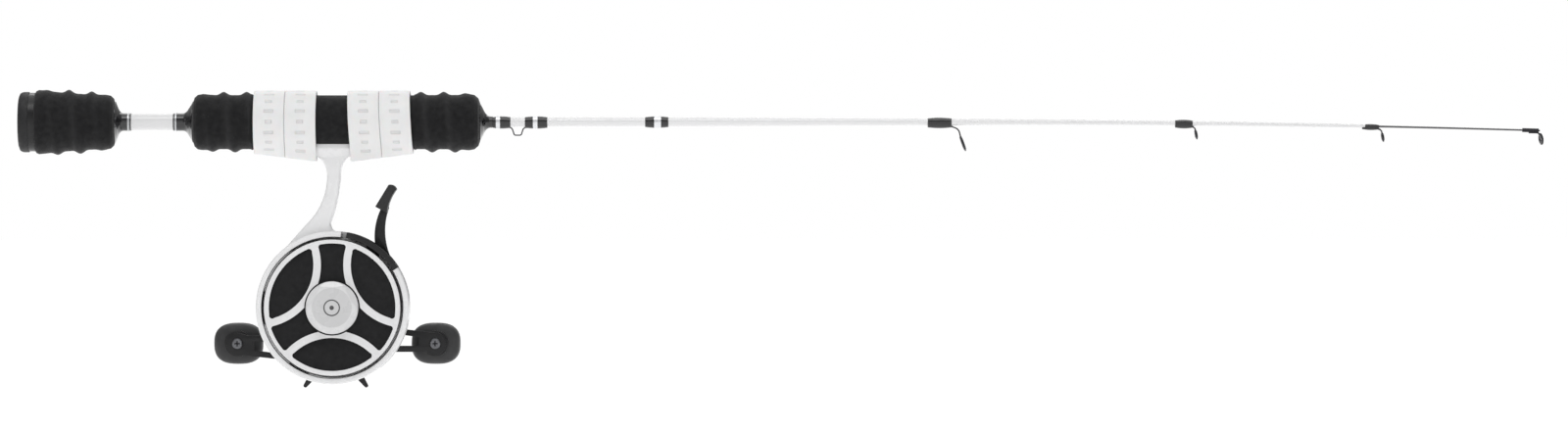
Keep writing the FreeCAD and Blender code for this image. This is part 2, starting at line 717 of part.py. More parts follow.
def foot_tab(body, direction):
    """One tab of the foot, lofted from its root at the stem to its thin end."""
    root = new_sketch(body, "YZ_Plane", s.foot_root * direction * 0.9)
    outline(root, foot_corners(s.foot_half_width, s.foot_depth, s.foot_keel))
    end = new_sketch(body, "YZ_Plane", s.foot_reach * direction)
    outline(end, foot_corners(s.foot_tip_width, s.foot_tip_depth, s.foot_keel * 0.65))
    loft = body.newObject("PartDesign::AdditiveLoft", "foot_tab")
    loft.Profile = root
    loft.Sections = [end]
    loft.Ruled = True


def foot_saddle(body):
    """The middle of the foot between the tabs, keeled like them, where the stem comes up."""
    ends = []
    for side in (-1, 1):
        end = new_sketch(body, "YZ_Plane", s.saddle_half * side)
        outline(end, foot_corners(s.foot_half_width, s.foot_depth - 0.3, s.foot_keel))
        ends.append(end)
    loft = body.newObject("PartDesign::AdditiveLoft", "foot_saddle")
    loft.Profile = ends[0]
    loft.Sections = ends[1:]
    loft.Ruled = True


def is_stem_edge(edge):
    """True for the outline edges of the stem's two faces, below the foot."""
    box, half = edge.BoundBox, float(s.stem_half)
    on_face = abs(abs(box.YMin) - half) < 0.01 and box.YLength < 0.01
    return on_face and box.ZMin < -16.01 and box.ZMax < -15.9 and box.XLength < 20


# Where the clutch yoke's two pins come through the back plate, round the spool axis.
YOKE_PINS = (40, 140)
YOKE_PIN_REACH = 12.0


def reel_frame():
    body = new_body("reel_frame")
    low = -s.spool_drop
    axle_low = -CRANK_DROP
    # Stem: from the foot down to a tangent on the rim
    slab(body, -s.stem_half, s.stem_half, [
        (-7.4, -s.seat_flat - 0.05), (7.4, -s.seat_flat - 0.05),
        (7.4, -16.0, 4.9, -19.2), (3.6, -24.5, 2.8, -33.0), (1.0, -41.4),
        (-0.6, -46.2, -0.75, -49.0), (1.6, -51.2), (1.6, -52.2), (-22.9, -59.6),
        (-12.6, -47.9, -5.4, -37.9), (-2.7, -25.2, -4.3, -19.2), (-7.4, -16.0),
    ])
    round_edges(body, 1.3, is_stem_edge)
    foot_saddle(body)
    for direction in (-1, 1):
        foot_tab(body, direction)
    # Cage: rim wall and back plate
    cage(body, low)
    cage_windows(body, low)
    hole(body, s.plate_front - 1, s.plate_back + 1, 0, low, 5.7)
    hole(body, s.plate_front - 1, s.plate_back + 1, 0, axle_low, 2.5)
    for px, pz in COVER_SCREWS:
        hole(body, s.plate_front - 0.5, s.plate_back + 1, px, low + pz, 0.85)
    return body


def cage(body, low):
    """The cage: a rim wall with a back plate, turned about the spool axis."""
    sketch = new_sketch(body, "YZ_Plane")
    outline(sketch, [
        (s.rim_front, low + s.rim_bore), (s.rim_front, low + s.rim_radius - 0.5),
        (s.rim_front + 0.5, low + s.rim_radius),
        (s.plate_back - 1.5, low + s.rim_radius), (s.plate_back, low + s.rim_radius - 1.5),
        (s.plate_back, low), (s.plate_front, low), (s.plate_front, low + s.rim_bore),
    ])
    axis = sketch.addGeometry(Part.LineSegment(Vector(-20, float(low), 0), Vector(20, float(low), 0)), True)
    sketch.addConstraint(Sketcher.Constraint("Horizontal", axis))
    pin_point(sketch, axis, 1, (-20, low))
    feature = body.newObject("PartDesign::Revolution", "cage")
    feature.Profile = sketch
    feature.ReferenceAxis = (sketch, ["Axis0"])
    feature.Angle = 360


def cage_windows(body, low):
    """The trigger's gap in the rim, the openings in the wall and the ports in the back plate."""
    travel = float(s.trigger_travel) + 0.4
    start, finish = float(s.trigger_low) - 0.3, float(s.trigger_high) + travel
    wide = (31.0, 37.5)
    cuts = [(*wide, start, finish, s.rim_front - 1, s.plate_front)]
    for a1, a2 in ((128, 166), (194, 232), (250, 290), (308, 346)):
        cuts.append((32.0, 37.5, a1, a2, s.rim_front + 3.4, s.plate_front - 2.2))
    for a1, a2 in ((95, 125), (142, 172), (8, 28)):
        cuts.append((20.5, 29.5, a1, a2, s.plate_front - 1, s.plate_back + 1))
    for pin_angle in YOKE_PINS:
        cuts.append((10.7, 13.3, pin_angle - 16, pin_angle + 5, s.plate_front - 1, s.plate_back + 1))
    for inner, outer, a1, a2, front, back in cuts:
        corners = [
            tuple(v if i % 2 == 0 else low + v for i, v in enumerate(corner))
            for corner in sector(inner, outer, a1, a2)
        ]
        slab(body, front, back, corners, cut=True)


# Cover screws, (x, z) from the spool axis: one above it, and one in a lug each side of the crank.
COVER_SCREWS = ((0.0, 13.2), (-14.9, -27.6), (14.9, -27.6))
LUG_THICKNESS = 2.6


def gear_cover():
    """The housing behind the back plate: an obround shell with a boss for the roller bearing."""
    low, drop = float(s.spool_drop), float(CRANK_DROP)

    def obround(y1, y2, shrink):
        top = disc(y1, y2, float(s.housing_top) - shrink, 0, -low)
        bottom = disc(y1, y2, float(s.housing_low) - shrink, 0, -drop)
        half = float(s.housing_low) - shrink - 0.4
        middle = Part.makeBox(2 * half, y2 - y1, drop - low, Vector(-half, y1, -drop))
        return top.fuse([bottom, middle])

    back, wall = float(s.cavity_back), float(s.cover_wall)
    front = float(s.plate_back) + 0.02
    shell = obround(front, back + wall, 0)
    shell = shell.removeSplitter()
    rim_edges = [e for e in shell.Edges if e.BoundBox.YMin > back + wall - 0.01]
    shell = shell.makeFillet(1.2, rim_edges)
    shell = shell.cut(obround(front - 1, back, wall))
    bosses = [disc(back - 1.3, back + wall + 1.0, 8.4, 0, -drop)]
    (top_x, top_z), *lug_spots = COVER_SCREWS
    bosses.append(disc(front, back + 0.2, 1.9, top_x, top_z - low).common(obround(front, back + wall, 0.4)))
    for px, pz in lug_spots:
        bosses.append(disc(front, front + LUG_THICKNESS, 3.1, px, pz - low))
    shell = shell.fuse(bosses)
    shell = shell.cut(obround(front - 1, front + LUG_THICKNESS + 1, wall).cut(
        disc(front - 1, back, 1.9, top_x, top_z - low)))
    shell = shell.cut(disc(back - 2, back + wall + 2, 6.55, 0, -drop))
    shell = shell.cut(disc(back - 1, back + wall + 1, float(s.spindle_radius) + 0.01, 0, -low))
    shell = shell.cut(disc(back + 0.4, back + wall + 1, 1.75, top_x, top_z - low))
    for px, pz in COVER_SCREWS:
        shell = shell.cut(disc(front - 1, back + wall + 1, 0.95, px, pz - low))
    direct("gear_cover", shell.removeSplitter())


def cover_screws():
    low, screws = float(s.spool_drop), []
    seats = [float(s.cavity_back) + 0.42] + [float(s.plate_back) + 0.04 + LUG_THICKNESS] * 2
    for (px, pz), seat in zip(COVER_SCREWS, seats):
        head = disc(seat, seat + 1.13, 1.6, px, pz - low)
        shank = disc(float(s.plate_front) + 0.3, seat, 0.8, px, pz - low)
        slots = [
            Part.makeBox(0.45, 0.6, 2.2, Vector(px - 0.225, seat + 0.6, pz - low - 1.1)),
            Part.makeBox(2.2, 0.6, 0.45, Vector(px - 1.1, seat + 0.6, pz - low - 0.225)),
        ]
        screws.append(head.fuse(shank).cut(slots[0].fuse(slots[1])))
    direct("cover_screws", Part.makeCompound(screws))


# ---------------------------------------------------------------- spool

def spool():
    body = new_body("spool", SPOOL_PLACE)
    web = s.flange_front + 1.4
    turn(body, [
        (s.flange_front, 3.6), (s.flange_front, s.flange_radius - 0.3), (web, s.flange_radius - 0.3),
        (web + 0.4, s.arbor_radius), (s.flange_rear - 1.2, s.arbor_radius),
        (s.flange_rear - 1.2, s.flange_radius - 0.6), (s.flange_rear, s.flange_radius - 0.6),
        (s.flange_rear, s.arbor_radius - 1.3), (web + 0.4, s.arbor_radius - 1.3),
        (web + 0.4, s.hub_radius), (6.0, s.hub_radius), (6.0, 4.05), (3.0, 4.05), (3.0, 3.0),
        (-4.2, 3.0), (-4.2, 4.05), (s.flange_front + 1.0, 4.05), (s.flange_front + 1.0, 3.6),
    ], "Y")
    # Ports through the arbor and dog slots in the hub's rear end
    for i in range(9):
        port = new_sketch(body, "XY_Plane")
        around = Rotation(Vector(0, 1, 0), i * 40.0)
        port.AttachmentOffset = Placement(around.multVec(Vector(0, 0, 12)), around)
        circle = port.addGeometry(Part.Circle(Vector(0, 0.3, 0), Vector(0, 0, 1), 3.2))
        pin_point(port, circle, 3, (0, 0.3))
        port.addConstraint(Sketcher.Constraint("Radius", circle, 3.2))
        cut = body.newObject("PartDesign::Pocket", "arbor_port")
        cut.Profile = port
        cut.Length = float(s.arbor_radius) - 10
        cut.Reversed = True
    for i in range(4):
        a = 45 + 90 * i
        slab(body, 5.2, 7.0, sector(4.0, 7.4, a - 17, a + 17), cut=True)


def spool_face():
    """The white trim on the spool's face: a rim, and three bowed spokes between six openings."""
    body = new_body("spool_face", SPOOL_PLACE)
    turn(body, [
        (s.face_front, s.cap_rim + 0.6), (s.face_front, s.flange_radius),
        (s.flange_front - 0.02, s.flange_radius), (s.flange_front - 0.02, s.cap_rim + 0.6),
    ], "Y")
    round_edges(body, 0.5, is_circle_at("Y", s.face_front, s.flange_radius))
    window, lens, reach, spoke = (float(q) for q in (s.window_radius, s.lens_radius, s.lens_reach,
                                                     s.spoke_radius))
    # Where the lens circle and the window circle meet, measured from the lens's middle line
    meet = (reach ** 2 + window ** 2 - lens ** 2) / (2 * reach)
    half = math.sqrt(window ** 2 - meet ** 2)
    pull = 1.5
    for middle in (30, 150, 270):
        tilt = math.radians(middle)

        def turned_point(along, across):
            return (along * math.cos(tilt) - across * math.sin(tilt),
                    along * math.sin(tilt) + across * math.cos(tilt))

        side = math.sqrt(window ** 2 - (half - pull) ** 2)
        near = reach - math.sqrt(lens ** 2 - (half - pull) ** 2)
        corner = turned_point(meet - 0.05, half - 0.55)
        opposite = turned_point(meet - 0.05, -half + 0.55)
        slab(body, s.face_front - 1, s.flange_front + 1, [
            (*turned_point(side, -half + pull), *turned_point(window, 0)),
            (*turned_point(side, half - pull), *corner),
            (*turned_point(near, half - pull), *turned_point(reach - lens, 0)),
            (*turned_point(near, -half + pull), *opposite),
        ], cut=True)
    arm_windows(body, window + 0.5, spoke, reach)


def arm_windows(body, window, spoke, reach):
    """Openings between neighbouring spokes, waisted where the two spokes bow towards each other."""
    inner = float(s.cap_rim) - 1.0
    for middle in (90, 210, 330):
        left, right = math.radians(middle + 60), math.radians(middle - 60)
        centres = [(reach * math.cos(a), reach * math.sin(a)) for a in (left, right)]
        mid = math.radians(middle)

        def on_spoke(centre, radius, sign):
            """The point at radius from the spool axis on the spoke circle about centre."""
            along = (radius ** 2 + reach ** 2 - spoke ** 2) / (2 * reach)
            across = math.sqrt(radius ** 2 - along ** 2)
            ux, uz = centre[0] / reach, centre[1] / reach
            return (ux * along - sign * uz * across, uz * along + sign * ux * across)

        pull = 1.3
        outer_left = on_spoke(centres[0], window - pull, -1)
        outer_right = on_spoke(centres[1], window - pull, 1)
        inner_left = on_spoke(centres[0], inner + 1.7, -1)
        inner_right = on_spoke(centres[1], inner + 1.7, 1)
        mid_left = on_spoke(centres[0], (window + inner) / 2, -1)
        mid_right = on_spoke(centres[1], (window + inner) / 2, 1)
        spread = math.atan2(outer_left[1], outer_left[0]) - mid
        spread = (spread + math.pi) % (2 * math.pi) - math.pi
        trim = pull / window
        rim = [(window * math.cos(mid + d), window * math.sin(mid + d)) for d in
               (spread - trim, 0, -spread + trim)]
        knee = [(window * math.cos(mid + d) * 0.985, window * math.sin(mid + d) * 0.985) for d in
                (spread - 0.25 * trim, -spread + 0.25 * trim)]
        throat = (inner * math.cos(mid), inner * math.sin(mid))
        slab(body, s.face_front - 1, s.flange_front + 1, [
            (*rim[0], *rim[1]),
            (*rim[2], *knee[1]),
            (*outer_right, *mid_right),
            (*inner_right, *throat),
            (*inner_left, *mid_left),
            (*outer_left, *knee[0]),
        ], cut=True)


def spool_cap():
    """The cap that retains the spool: a dished disc with six shallow flats on its bevel."""
    body = new_body("spool_cap", SPOOL_PLACE)
    turn(body, [
        (s.cap_face, 0), (s.cap_face, s.cap_rim * 0.74), (s.cap_face + 1.6, s.cap_rim),
        (s.cap_back + 0.4, s.cap_rim), (s.cap_back + 0.4, 3.2), (-8.9, 3.2), (-8.9, 2.05),
        (-12.0, 2.05), (-12.0, 0),
    ], "Y")


def spool_inserts():
    """Soft matt pads that fill the openings of the face, a little below its surface."""
    shape = disc(float(s.face_front) + 0.75, float(s.flange_front) - 0.04, float(s.window_radius) + 0.45)
    shape = shape.cut(disc(-12, 0, float(s.cap_rim) + 0.6))
    doc.recompute()
    face = doc.getObjectsByLabel("spool_face")[0].Shape.copy()
    face.Placement = Placement()
    grown = shape.cut(face)
    pads = [solid for solid in grown.Solids if solid.Volume > 1.0]
    direct("face_pads", Part.makeCompound(pads), SPOOL_PLACE)


def spindle():
    turn(new_body("spool_spindle", SPOOL_PLACE), [
        (-11.9, 0), (-11.9, s.spindle_radius), (s.cavity_back + s.cover_wall, s.spindle_radius),
        (s.cavity_back + s.cover_wall, 0),
    ], "Y")


def spool_bearings():
    for label, front, back in (("spool_bearing_front", s.flange_front + 1.05, -4.3),
                               ("spool_bearing_rear", 3.05, 5.1)):
        washer(label, front, back, s.spindle_radius + 0.04, 4.0, SPOOL_PLACE)


# ---------------------------------------------------------------- gears and clutch

def gear_outline(teeth, module, backlash):
    """A toothed outline in the XZ plane with a tooth on +Z: three-point involute flanks."""
    pressure = math.radians(25)
    pitch = teeth * module / 2
    base = pitch * math.cos(pressure)
    tip, root = pitch + 0.95 * module, pitch - 1.18 * module
    half_pitch_angle = math.pi / (2 * teeth) - backlash / (4 * pitch)
    involute_at_pitch = math.tan(pressure) - pressure

    def flank_angle(radius):
        spread = math.acos(min(1.0, base / radius))
        return half_pitch_angle + involute_at_pitch - (math.tan(spread) - spread)

    low = max(base, root)
    radii = [low + (tip - low) * k / 3 for k in range(4)]
    points = []
    for i in range(teeth):
        centre = math.pi / 2 - 2 * math.pi * i / teeth
        edge = flank_angle(low)
        left = [(root, centre + edge)] + [(r, centre + flank_angle(r)) for r in radii]
        right = [(r, 2 * centre - a) for r, a in reversed(left)]
        points.extend(left + right)
    corners = [Vector(r * math.cos(a), 0, r * math.sin(a)) for r, a in points]
    return Part.makePolygon(corners + [corners[0]])


def gear_blank(teeth, y1, y2):
    face = Part.Face(gear_outline(int(teeth), float(s.gear_module), float(s.tooth_backlash)))
    solid = face.extrude(Vector(0, y2 - y1, 0))
    solid.translate(Vector(0, y1, 0))
    return solid


def pinion():
    shape = gear_blank(s.pinion_teeth.value, 12.25, 17.4)
    shape = shape.fuse(disc(6.15, 12.25, 3.6))
    shape = shape.fuse(disc(6.15, 8.0, 5.2))
    for i in range(4):
        wire = [Vector(x, 5.55, z) for x, z in (polar(4.3, 45 + 90 * i - 14), polar(5.1, 45 + 90 * i - 12),
                                                polar(5.1, 45 + 90 * i + 12), polar(4.3, 45 + 90 * i + 14))]
        dog = Part.Face(Part.makePolygon(wire + [wire[0]])).extrude(Vector(0, 0.7, 0))
        shape = shape.fuse(dog)
    shape = shape.cut(disc(0, 30, float(s.spindle_radius) + 0.04))
    direct("pinion_gear", shape.removeSplitter(), SPOOL_PLACE)


def drive_gear():
    shape = gear_blank(s.drive_teeth.value, 13.6, 16.3).cut(disc(0, 30, float(s.shaft_radius) + 0.02))
    for i in range(5):
        x, z = polar(8.0, 90 + 72 * i)
        shape = shape.cut(disc(0, 30, 1.7, x, z))
    direct("drive_gear", shape, CRANK_PLACE)


# The trigger's cam plate lies between the spool and the back plate, along Y.
CAM_FRONT = 8.0
CAM_BACK = 8.6


def clutch_yoke():
    """A forked plate that pushes the pinion back, with two pins that ride the trigger's cam."""
    ring = disc(11.2, 12.15, 13.4).cut(disc(0, 30, 3.9))
    lower = Part.makeBox(40, 20, 20, Vector(-20, 5, -21.0))
    plate = ring.cut(lower)
    plate = plate.cut(disc(0, 30, 2.6, 0, 13.2))
    pins = [disc(CAM_BACK + 0.02, 11.4, 0.8, *polar(YOKE_PIN_REACH, a)) for a in YOKE_PINS]
    direct("clutch_yoke", plate.fuse(pins), SPOOL_PLACE)


def clutch_spring():
    """A thin bellows between the pinion and the cover that pushes the pinion forward."""
    folds = [(17.45, 2.7), (17.95, 3.5), (18.5, 2.7), (19.05, 3.5), (19.55, 2.7)]
    inside = [(y, r - 0.17) for y, r in folds]
    outside = [(y, r + 0.17) for y, r in reversed(folds)]
    turn(new_body("clutch_spring", SPOOL_PLACE), inside + outside, "Y")


# ---------------------------------------------------------------- trigger

def trigger_slide():
    """The curved slide in the rim's gap: front and rear rails joined at both ends, open between."""
    body = new_body("trigger_slide", SPOOL_PLACE)
    inner, outer = float(s.rim_bore) + 0.15, float(s.rim_radius) + 0.1
    low, high = float(s.trigger_low), float(s.trigger_high)
    slab(body, s.rim_front - 0.15, s.plate_front - 0.35, sector(inner, outer, low, high))
    slab(body, s.rim_front + 3.0, 4.4, sector(inner - 1, outer + 1, low + 4, high - 4), cut=True)


def trigger_cam():
    """A thin arm from the slide to a ring round the spindle, with two ramps that lift the yoke's pins."""
    ring = disc(CAM_FRONT, CAM_BACK, 13.8).cut(disc(0, 30, 6.2))
    arm = Part.makeBox(26.0, CAM_BACK - CAM_FRONT, 7.0, Vector(9.0, CAM_FRONT, -3.5))
    arm.Placement = Placement(Vector(0, 0, 0), Rotation(Vector(0, 1, 0), -55.0))
    flat = ring.fuse(arm).common(disc(CAM_FRONT, CAM_BACK, float(s.rim_bore) + 0.15))
    lift = float(s.clutch_travel)
    ramps = []
    for degrees in YOKE_PINS:
        # Height against distance round the ring; the slope starts at the pin's edge
        side = Part.Face(Part.makePolygon([
            Vector(-0.8, CAM_BACK - 0.1, -2.6), Vector(-0.8, CAM_BACK + lift, -2.6),
            Vector(-0.8, CAM_BACK + lift, -0.84 - lift), Vector(-0.8, CAM_BACK, -0.84),
            Vector(-0.8, CAM_BACK - 0.1, -0.84), Vector(-0.8, CAM_BACK - 0.1, -2.6),
        ]))
        ramp = side.extrude(Vector(1.6, 0, 0))
        px, pz = polar(YOKE_PIN_REACH, degrees)
        ramp.Placement = Placement(Vector(px, 0, pz), Rotation(Vector(0, 1, 0), -degrees))
        ramps.append(ramp)
    direct("trigger_cam", flat.fuse(ramps), SPOOL_PLACE)


def trigger_lever():
    """The curved arm that the finger pulls; its foot wraps the rear rail of the slide."""
    body = new_body("trigger_lever")
    low = -float(s.spool_drop)
    foot_a = polar(float(s.rim_radius) + 0.12, 57.5)
    foot_b = polar(float(s.rim_radius) + 0.12, 43.0)
    foot_m = polar(float(s.rim_radius) + 0.12, 50.0)
    slab(body, 4.6, 7.8, [
        (foot_a[0], low + foot_a[1], foot_m[0], low + foot_m[1]),
        (foot_b[0], low + foot_b[1], 24.0, -49.6),
        (25.9, -40.0), (23.6, -34.6), (21.8, -41.0, 19.6, -48.0),
    ])


def trigger_pad():
    """The finger pad: a tapered saddle over the end of the lever, as wide as a fingertip."""
    body = new_body("trigger_pad")
    slab(body, -3.6, 8.0, [
        (19.8, -39.5), (26.0, -29.3, 27.1, -29.2), (29.6, -31.4, 26.6, -36.6), (25.2, -42.4),
    ])
    doc.recompute()
    slab(body, 4.55, 7.85, [
        (19.0, -40.5), (22.5, -34.0), (25.8, -35.6), (26.4, -43.5), (22.0, -43.0),
    ], cut=True)


# ---------------------------------------------------------------- crank, drag and knobs

def drive_shaft():
    turn(new_body("drive_shaft", CRANK_PLACE), [
        (9.2, 0), (9.2, 2.45), (12.3, 2.45), (12.3, 6.4), (13.05, 6.4), (13.05, s.shaft_radius),
        (s.arm_back + 2.6, s.shaft_radius), (s.arm_back + 2.6, 0),
    ], "Y")


def drag_stack():
    bore = s.shaft_radius + 0.02
    washers = [disc(y1, y2, 6.4).cut(disc(0, 30, float(bore))) for y1, y2 in ((13.07, 13.58), (16.32, 16.8))]
    direct("drag_washers", Part.makeCompound(washers), CRANK_PLACE)
    washer("drag_pressure_plate", 16.82, 17.6, bore, 6.2, CRANK_PLACE)
    washer("bearing_sleeve", 17.62, 22.7, bore, 4.0, CRANK_PLACE)
    washer("one_way_bearing", 18.35, s.cavity_back + s.cover_wall + 0.9, 4.04, 6.5, CRANK_PLACE)
    dished = [
        Part.makeCone(4.6, 3.6, 0.9, Vector(0, 0, 0), Vector(0, 1, 0)).cut(
            Part.makeCone(4.1, 3.1, 0.9, Vector(0, -0.35, 0), Vector(0, 1, 0))).cut(disc(-1, 3, 3.05)),
    ]
    dished[0].translate(Vector(0, 22.8, 0))
    direct("drag_spring_washer", dished[0], CRANK_PLACE)


def star_drag():
    """A hub with five tapered arms."""
    body = new_body("star_drag", CRANK_PLACE)
    turn(body, [
        (23.9, s.shaft_radius + 0.05), (23.9, 7.6), (26.2, 7.6), (27.2, 6.2),
        (27.2, s.shaft_radius + 0.05),
    ], "Y")
    tip, root = float(s.star_reach), 6.4
    for i in range(5):
        a = 90 + 72 * i
        base_left, base_right = polar(root, a + 34), polar(root, a - 34)
        end = polar(tip, a)
        end_left = (end[0] - 0.9 * math.sin(math.radians(a)) - 0.8 * math.cos(math.radians(a)),
                    end[1] + 0.9 * math.cos(math.radians(a)) - 0.8 * math.sin(math.radians(a)))
        end_right = (end[0] + 0.9 * math.sin(math.radians(a)) - 0.8 * math.cos(math.radians(a)),
                     end[1] - 0.9 * math.cos(math.radians(a)) - 0.8 * math.sin(math.radians(a)))
        slab(body, 23.9, 25.9, [base_right, (*end_right, *end), end_left, base_left])


def handle_arm():
    """The double crank: a hub, and each side a pair of bars round a slot that end in an eye."""
    body = new_body("handle_arm", CRANK_PLACE)
    reach = s.crank_radius
    turn(body, [
        (s.arm_front, 0), (s.arm_front, s.arm_hub), (s.arm_back, s.arm_hub), (s.arm_back, 0),
    ], "Y")
    for side in (-1, 1):
        far, eye = reach * side, s.arm_eye * side
        diagonal = float(eye) * math.sqrt(0.5)
        slab(body, s.arm_front, s.arm_back, [
            (0, side * -3.9), (far * 0.9, side * -3.9), (far, -eye, far + diagonal, -diagonal),
            (far + eye, 0, far + diagonal, diagonal), (far, eye), (10.0 * side, 9.2 * side), (0, 9.2 * side),
        ])
        slab(body, s.arm_front - 1, s.arm_back + 1, [
            (38.8 * side, -1.0 * side), (38.8 * side, 3.1 * side),
            (13.5 * side, 6.4 * side), (13.5 * side, -1.0 * side),
        ], cut=True)
        hole(body, s.arm_front - 1, s.arm_back + 1, reach * side, 0, s.knob_screw + 0.05)
    hole(body, s.arm_front - 1, s.arm_back + 1, 0, 0, s.shaft_radius + 0.02)


def handle_nut():
    y1, y2 = float(s.arm_back) + 0.02, float(s.arm_back) + 3.0
    hexagon = [Vector(*[polar(5.2, 60 * i)[0], y1, polar(5.2, 60 * i)[1]]) for i in range(7)]
    nut = Part.Face(Part.makePolygon(hexagon)).extrude(Vector(0, y2 - y1, 0))
    nut = nut.common(disc(y1, y2, 4.95)).cut(disc(0, 60, float(s.shaft_radius) + 0.02))
    direct("handle_nut", nut, CRANK_PLACE)
    washer("handle_spacer", 27.3, s.arm_front - 0.02, s.shaft_radius + 0.02, 5.0, CRANK_PLACE)


def knob_outline(y, scale):
    """The knob's section across its axle at station y: a rounded oblong."""
    a, b = float(s.knob_half_length) * scale, float(s.knob_half_width) * scale
    count = 24
    points = []
    for i in range(count):
        t = 2 * math.pi * i / count
        c, n = math.cos(t), math.sin(t)
        points.append(Vector(a * math.copysign(abs(c) ** 0.8, c), y, b * math.copysign(abs(n) ** 0.85, n)))
    curve = Part.BSplineCurve()
    curve.interpolate(points, PeriodicFlag=True)
    return Part.Wire([curve.toShape()])


def knobs():
    front, back = float(s.knob_front), float(s.knob_back)
    for label, side in (("rear", -1), ("front", 1)):
        at = (s.crank_radius * side, 0, -CRANK_DROP)
        depth = back - front
        rings = [
            knob_outline(front + depth * share, scale)
            for share, scale in ((0.0, 0.74), (0.12, 0.95), (0.45, 1.0), (0.85, 0.93), (1.0, 0.7))
        ]
        body = Part.makeLoft(rings, True, False)
        body = body.cut(disc(front - 1, back - 3.0, 2.5))
        direct("knob_" + label, body.cut(disc(front - 1, front + 0.9, 6.4)), at)
        turn(new_body("knob_bush_" + label, at), [
            (s.arm_back + 0.02, 1.2), (s.knob_back - 3.6, 1.2), (s.knob_back - 3.6, 2.44),
            (s.knob_front + 0.85, 2.44), (s.knob_front + 0.85, 6.2), (s.arm_back + 0.3, 6.2),
            (s.arm_back + 0.02, 5.9),
        ], "Y")
        screw = disc(s.arm_front - 1.1, s.arm_front - 0.02, 2.5)
        rim = [e for e in screw.Edges if abs(e.BoundBox.YMax - float(s.arm_front) + 1.1) < 0.01]
        screw = screw.makeFillet(0.6, rim)
        shank = disc(s.arm_front - 0.1, s.knob_back - 6.0, float(s.knob_screw))
        slot = [
            Part.makeBox(0.55, 0.7, 2.8, Vector(-0.275, float(s.arm_front) - 1.15, -1.4)),
            Part.makeBox(2.8, 0.7, 0.55, Vector(-1.4, float(s.arm_front) - 1.15, -0.275)),
        ]
        direct("knob_screw_" + label, screw.fuse(shank).cut(slot[0].fuse(slot[1])), at)


# ---------------------------------------------------------------- build

def build():
    for make in (
        butt_cap, butt_ring, rear_grip, handle_tube, front_grip, winding_checks, rod_blank, rod_tip,
        plain_wraps, line_guides, tip_top, trim_threads, reel_bands, reel_frame, gear_cover,
        cover_screws, spool, spool_face, spool_inserts, spool_cap, spindle, spool_bearings,
        pinion, drive_gear, clutch_yoke, clutch_spring, trigger_slide, trigger_cam, trigger_lever,
        trigger_pad, drive_shaft, drag_stack, star_drag, handle_arm, handle_nut, knobs,
    ):
        make()
    direct("hook_keeper", keeper_wire_shape(0.0))
    doc.recompute()


def check_and_export():
    failed = [o.Label for o in doc.Objects if "Invalid" in o.State or "Error" in o.State]
    if failed:
        raise RuntimeError("failed: " + ", ".join(failed))
    for part in subparts:
        shape = part.Shape
        one_solid = part.TypeId == "Part::Feature" or len(shape.Solids) == 1
        if shape.isNull() or not shape.isValid() or shape.Volume <= 0 or not one_solid:
            raise RuntimeError("bad shape: " + part.Label)
    os.makedirs("parts", exist_ok=True)
    for part in subparts:
        part.Shape.exportStep(os.path.join("parts", part.Label + ".step"))
        print(part.Label, len(part.Shape.Solids), round(part.Shape.Volume, 1))


build()
check_and_export()
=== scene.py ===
"""Looks for a short ice fishing rod with an inline reel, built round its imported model.

The rod lies along X with its butt at the left, the reel hangs below it and faces -Y.
Foam, bands, winding checks, knobs, cap and clutch spring are new pieces. The reel's mouldings
are copies with broken edges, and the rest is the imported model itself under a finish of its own.
"""

import json
import math
import bmesh
import bpy
from mathutils import Matrix, Vector


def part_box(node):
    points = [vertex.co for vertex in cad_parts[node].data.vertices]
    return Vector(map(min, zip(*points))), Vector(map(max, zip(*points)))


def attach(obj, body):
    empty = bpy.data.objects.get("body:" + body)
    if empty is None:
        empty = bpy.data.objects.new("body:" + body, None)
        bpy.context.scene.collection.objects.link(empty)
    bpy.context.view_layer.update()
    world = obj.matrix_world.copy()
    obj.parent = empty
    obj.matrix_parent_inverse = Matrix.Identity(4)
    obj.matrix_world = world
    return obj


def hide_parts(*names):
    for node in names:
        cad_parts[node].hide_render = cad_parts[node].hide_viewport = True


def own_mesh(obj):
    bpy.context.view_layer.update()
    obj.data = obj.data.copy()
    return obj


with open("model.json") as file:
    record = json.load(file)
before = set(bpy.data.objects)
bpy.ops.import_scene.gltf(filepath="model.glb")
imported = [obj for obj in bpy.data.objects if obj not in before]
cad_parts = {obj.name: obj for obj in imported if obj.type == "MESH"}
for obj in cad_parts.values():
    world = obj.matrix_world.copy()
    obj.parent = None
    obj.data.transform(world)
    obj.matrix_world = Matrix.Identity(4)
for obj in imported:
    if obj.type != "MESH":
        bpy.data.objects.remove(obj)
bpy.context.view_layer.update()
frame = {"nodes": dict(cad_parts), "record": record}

MM = 0.001
BODY_OF = {node: body for body, nodes in frame["record"]["behaviour"]["bodies"].items() for node in nodes}


def middle_of(node):
    """The middle of a part's box, in metres."""
    low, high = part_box(node)
    return (Vector(low) + Vector(high)) / 2


SPOOL_AXIS = middle_of("spool_cap")
CRANK_AXIS = middle_of("drive_shaft")

# Rings round the spool's axis, mm from it, painted black beside a running gap as painted shade in the
# gap.
FACE_RADIUS = (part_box("spool_face")[1][0] - SPOOL_AXIS.x) / MM
RIM_GAP = (FACE_RADIUS - 0.25, 33.15)
CAP_GAP = (11.0, 12.95)


# ---------------------------------------------------------------- finishes

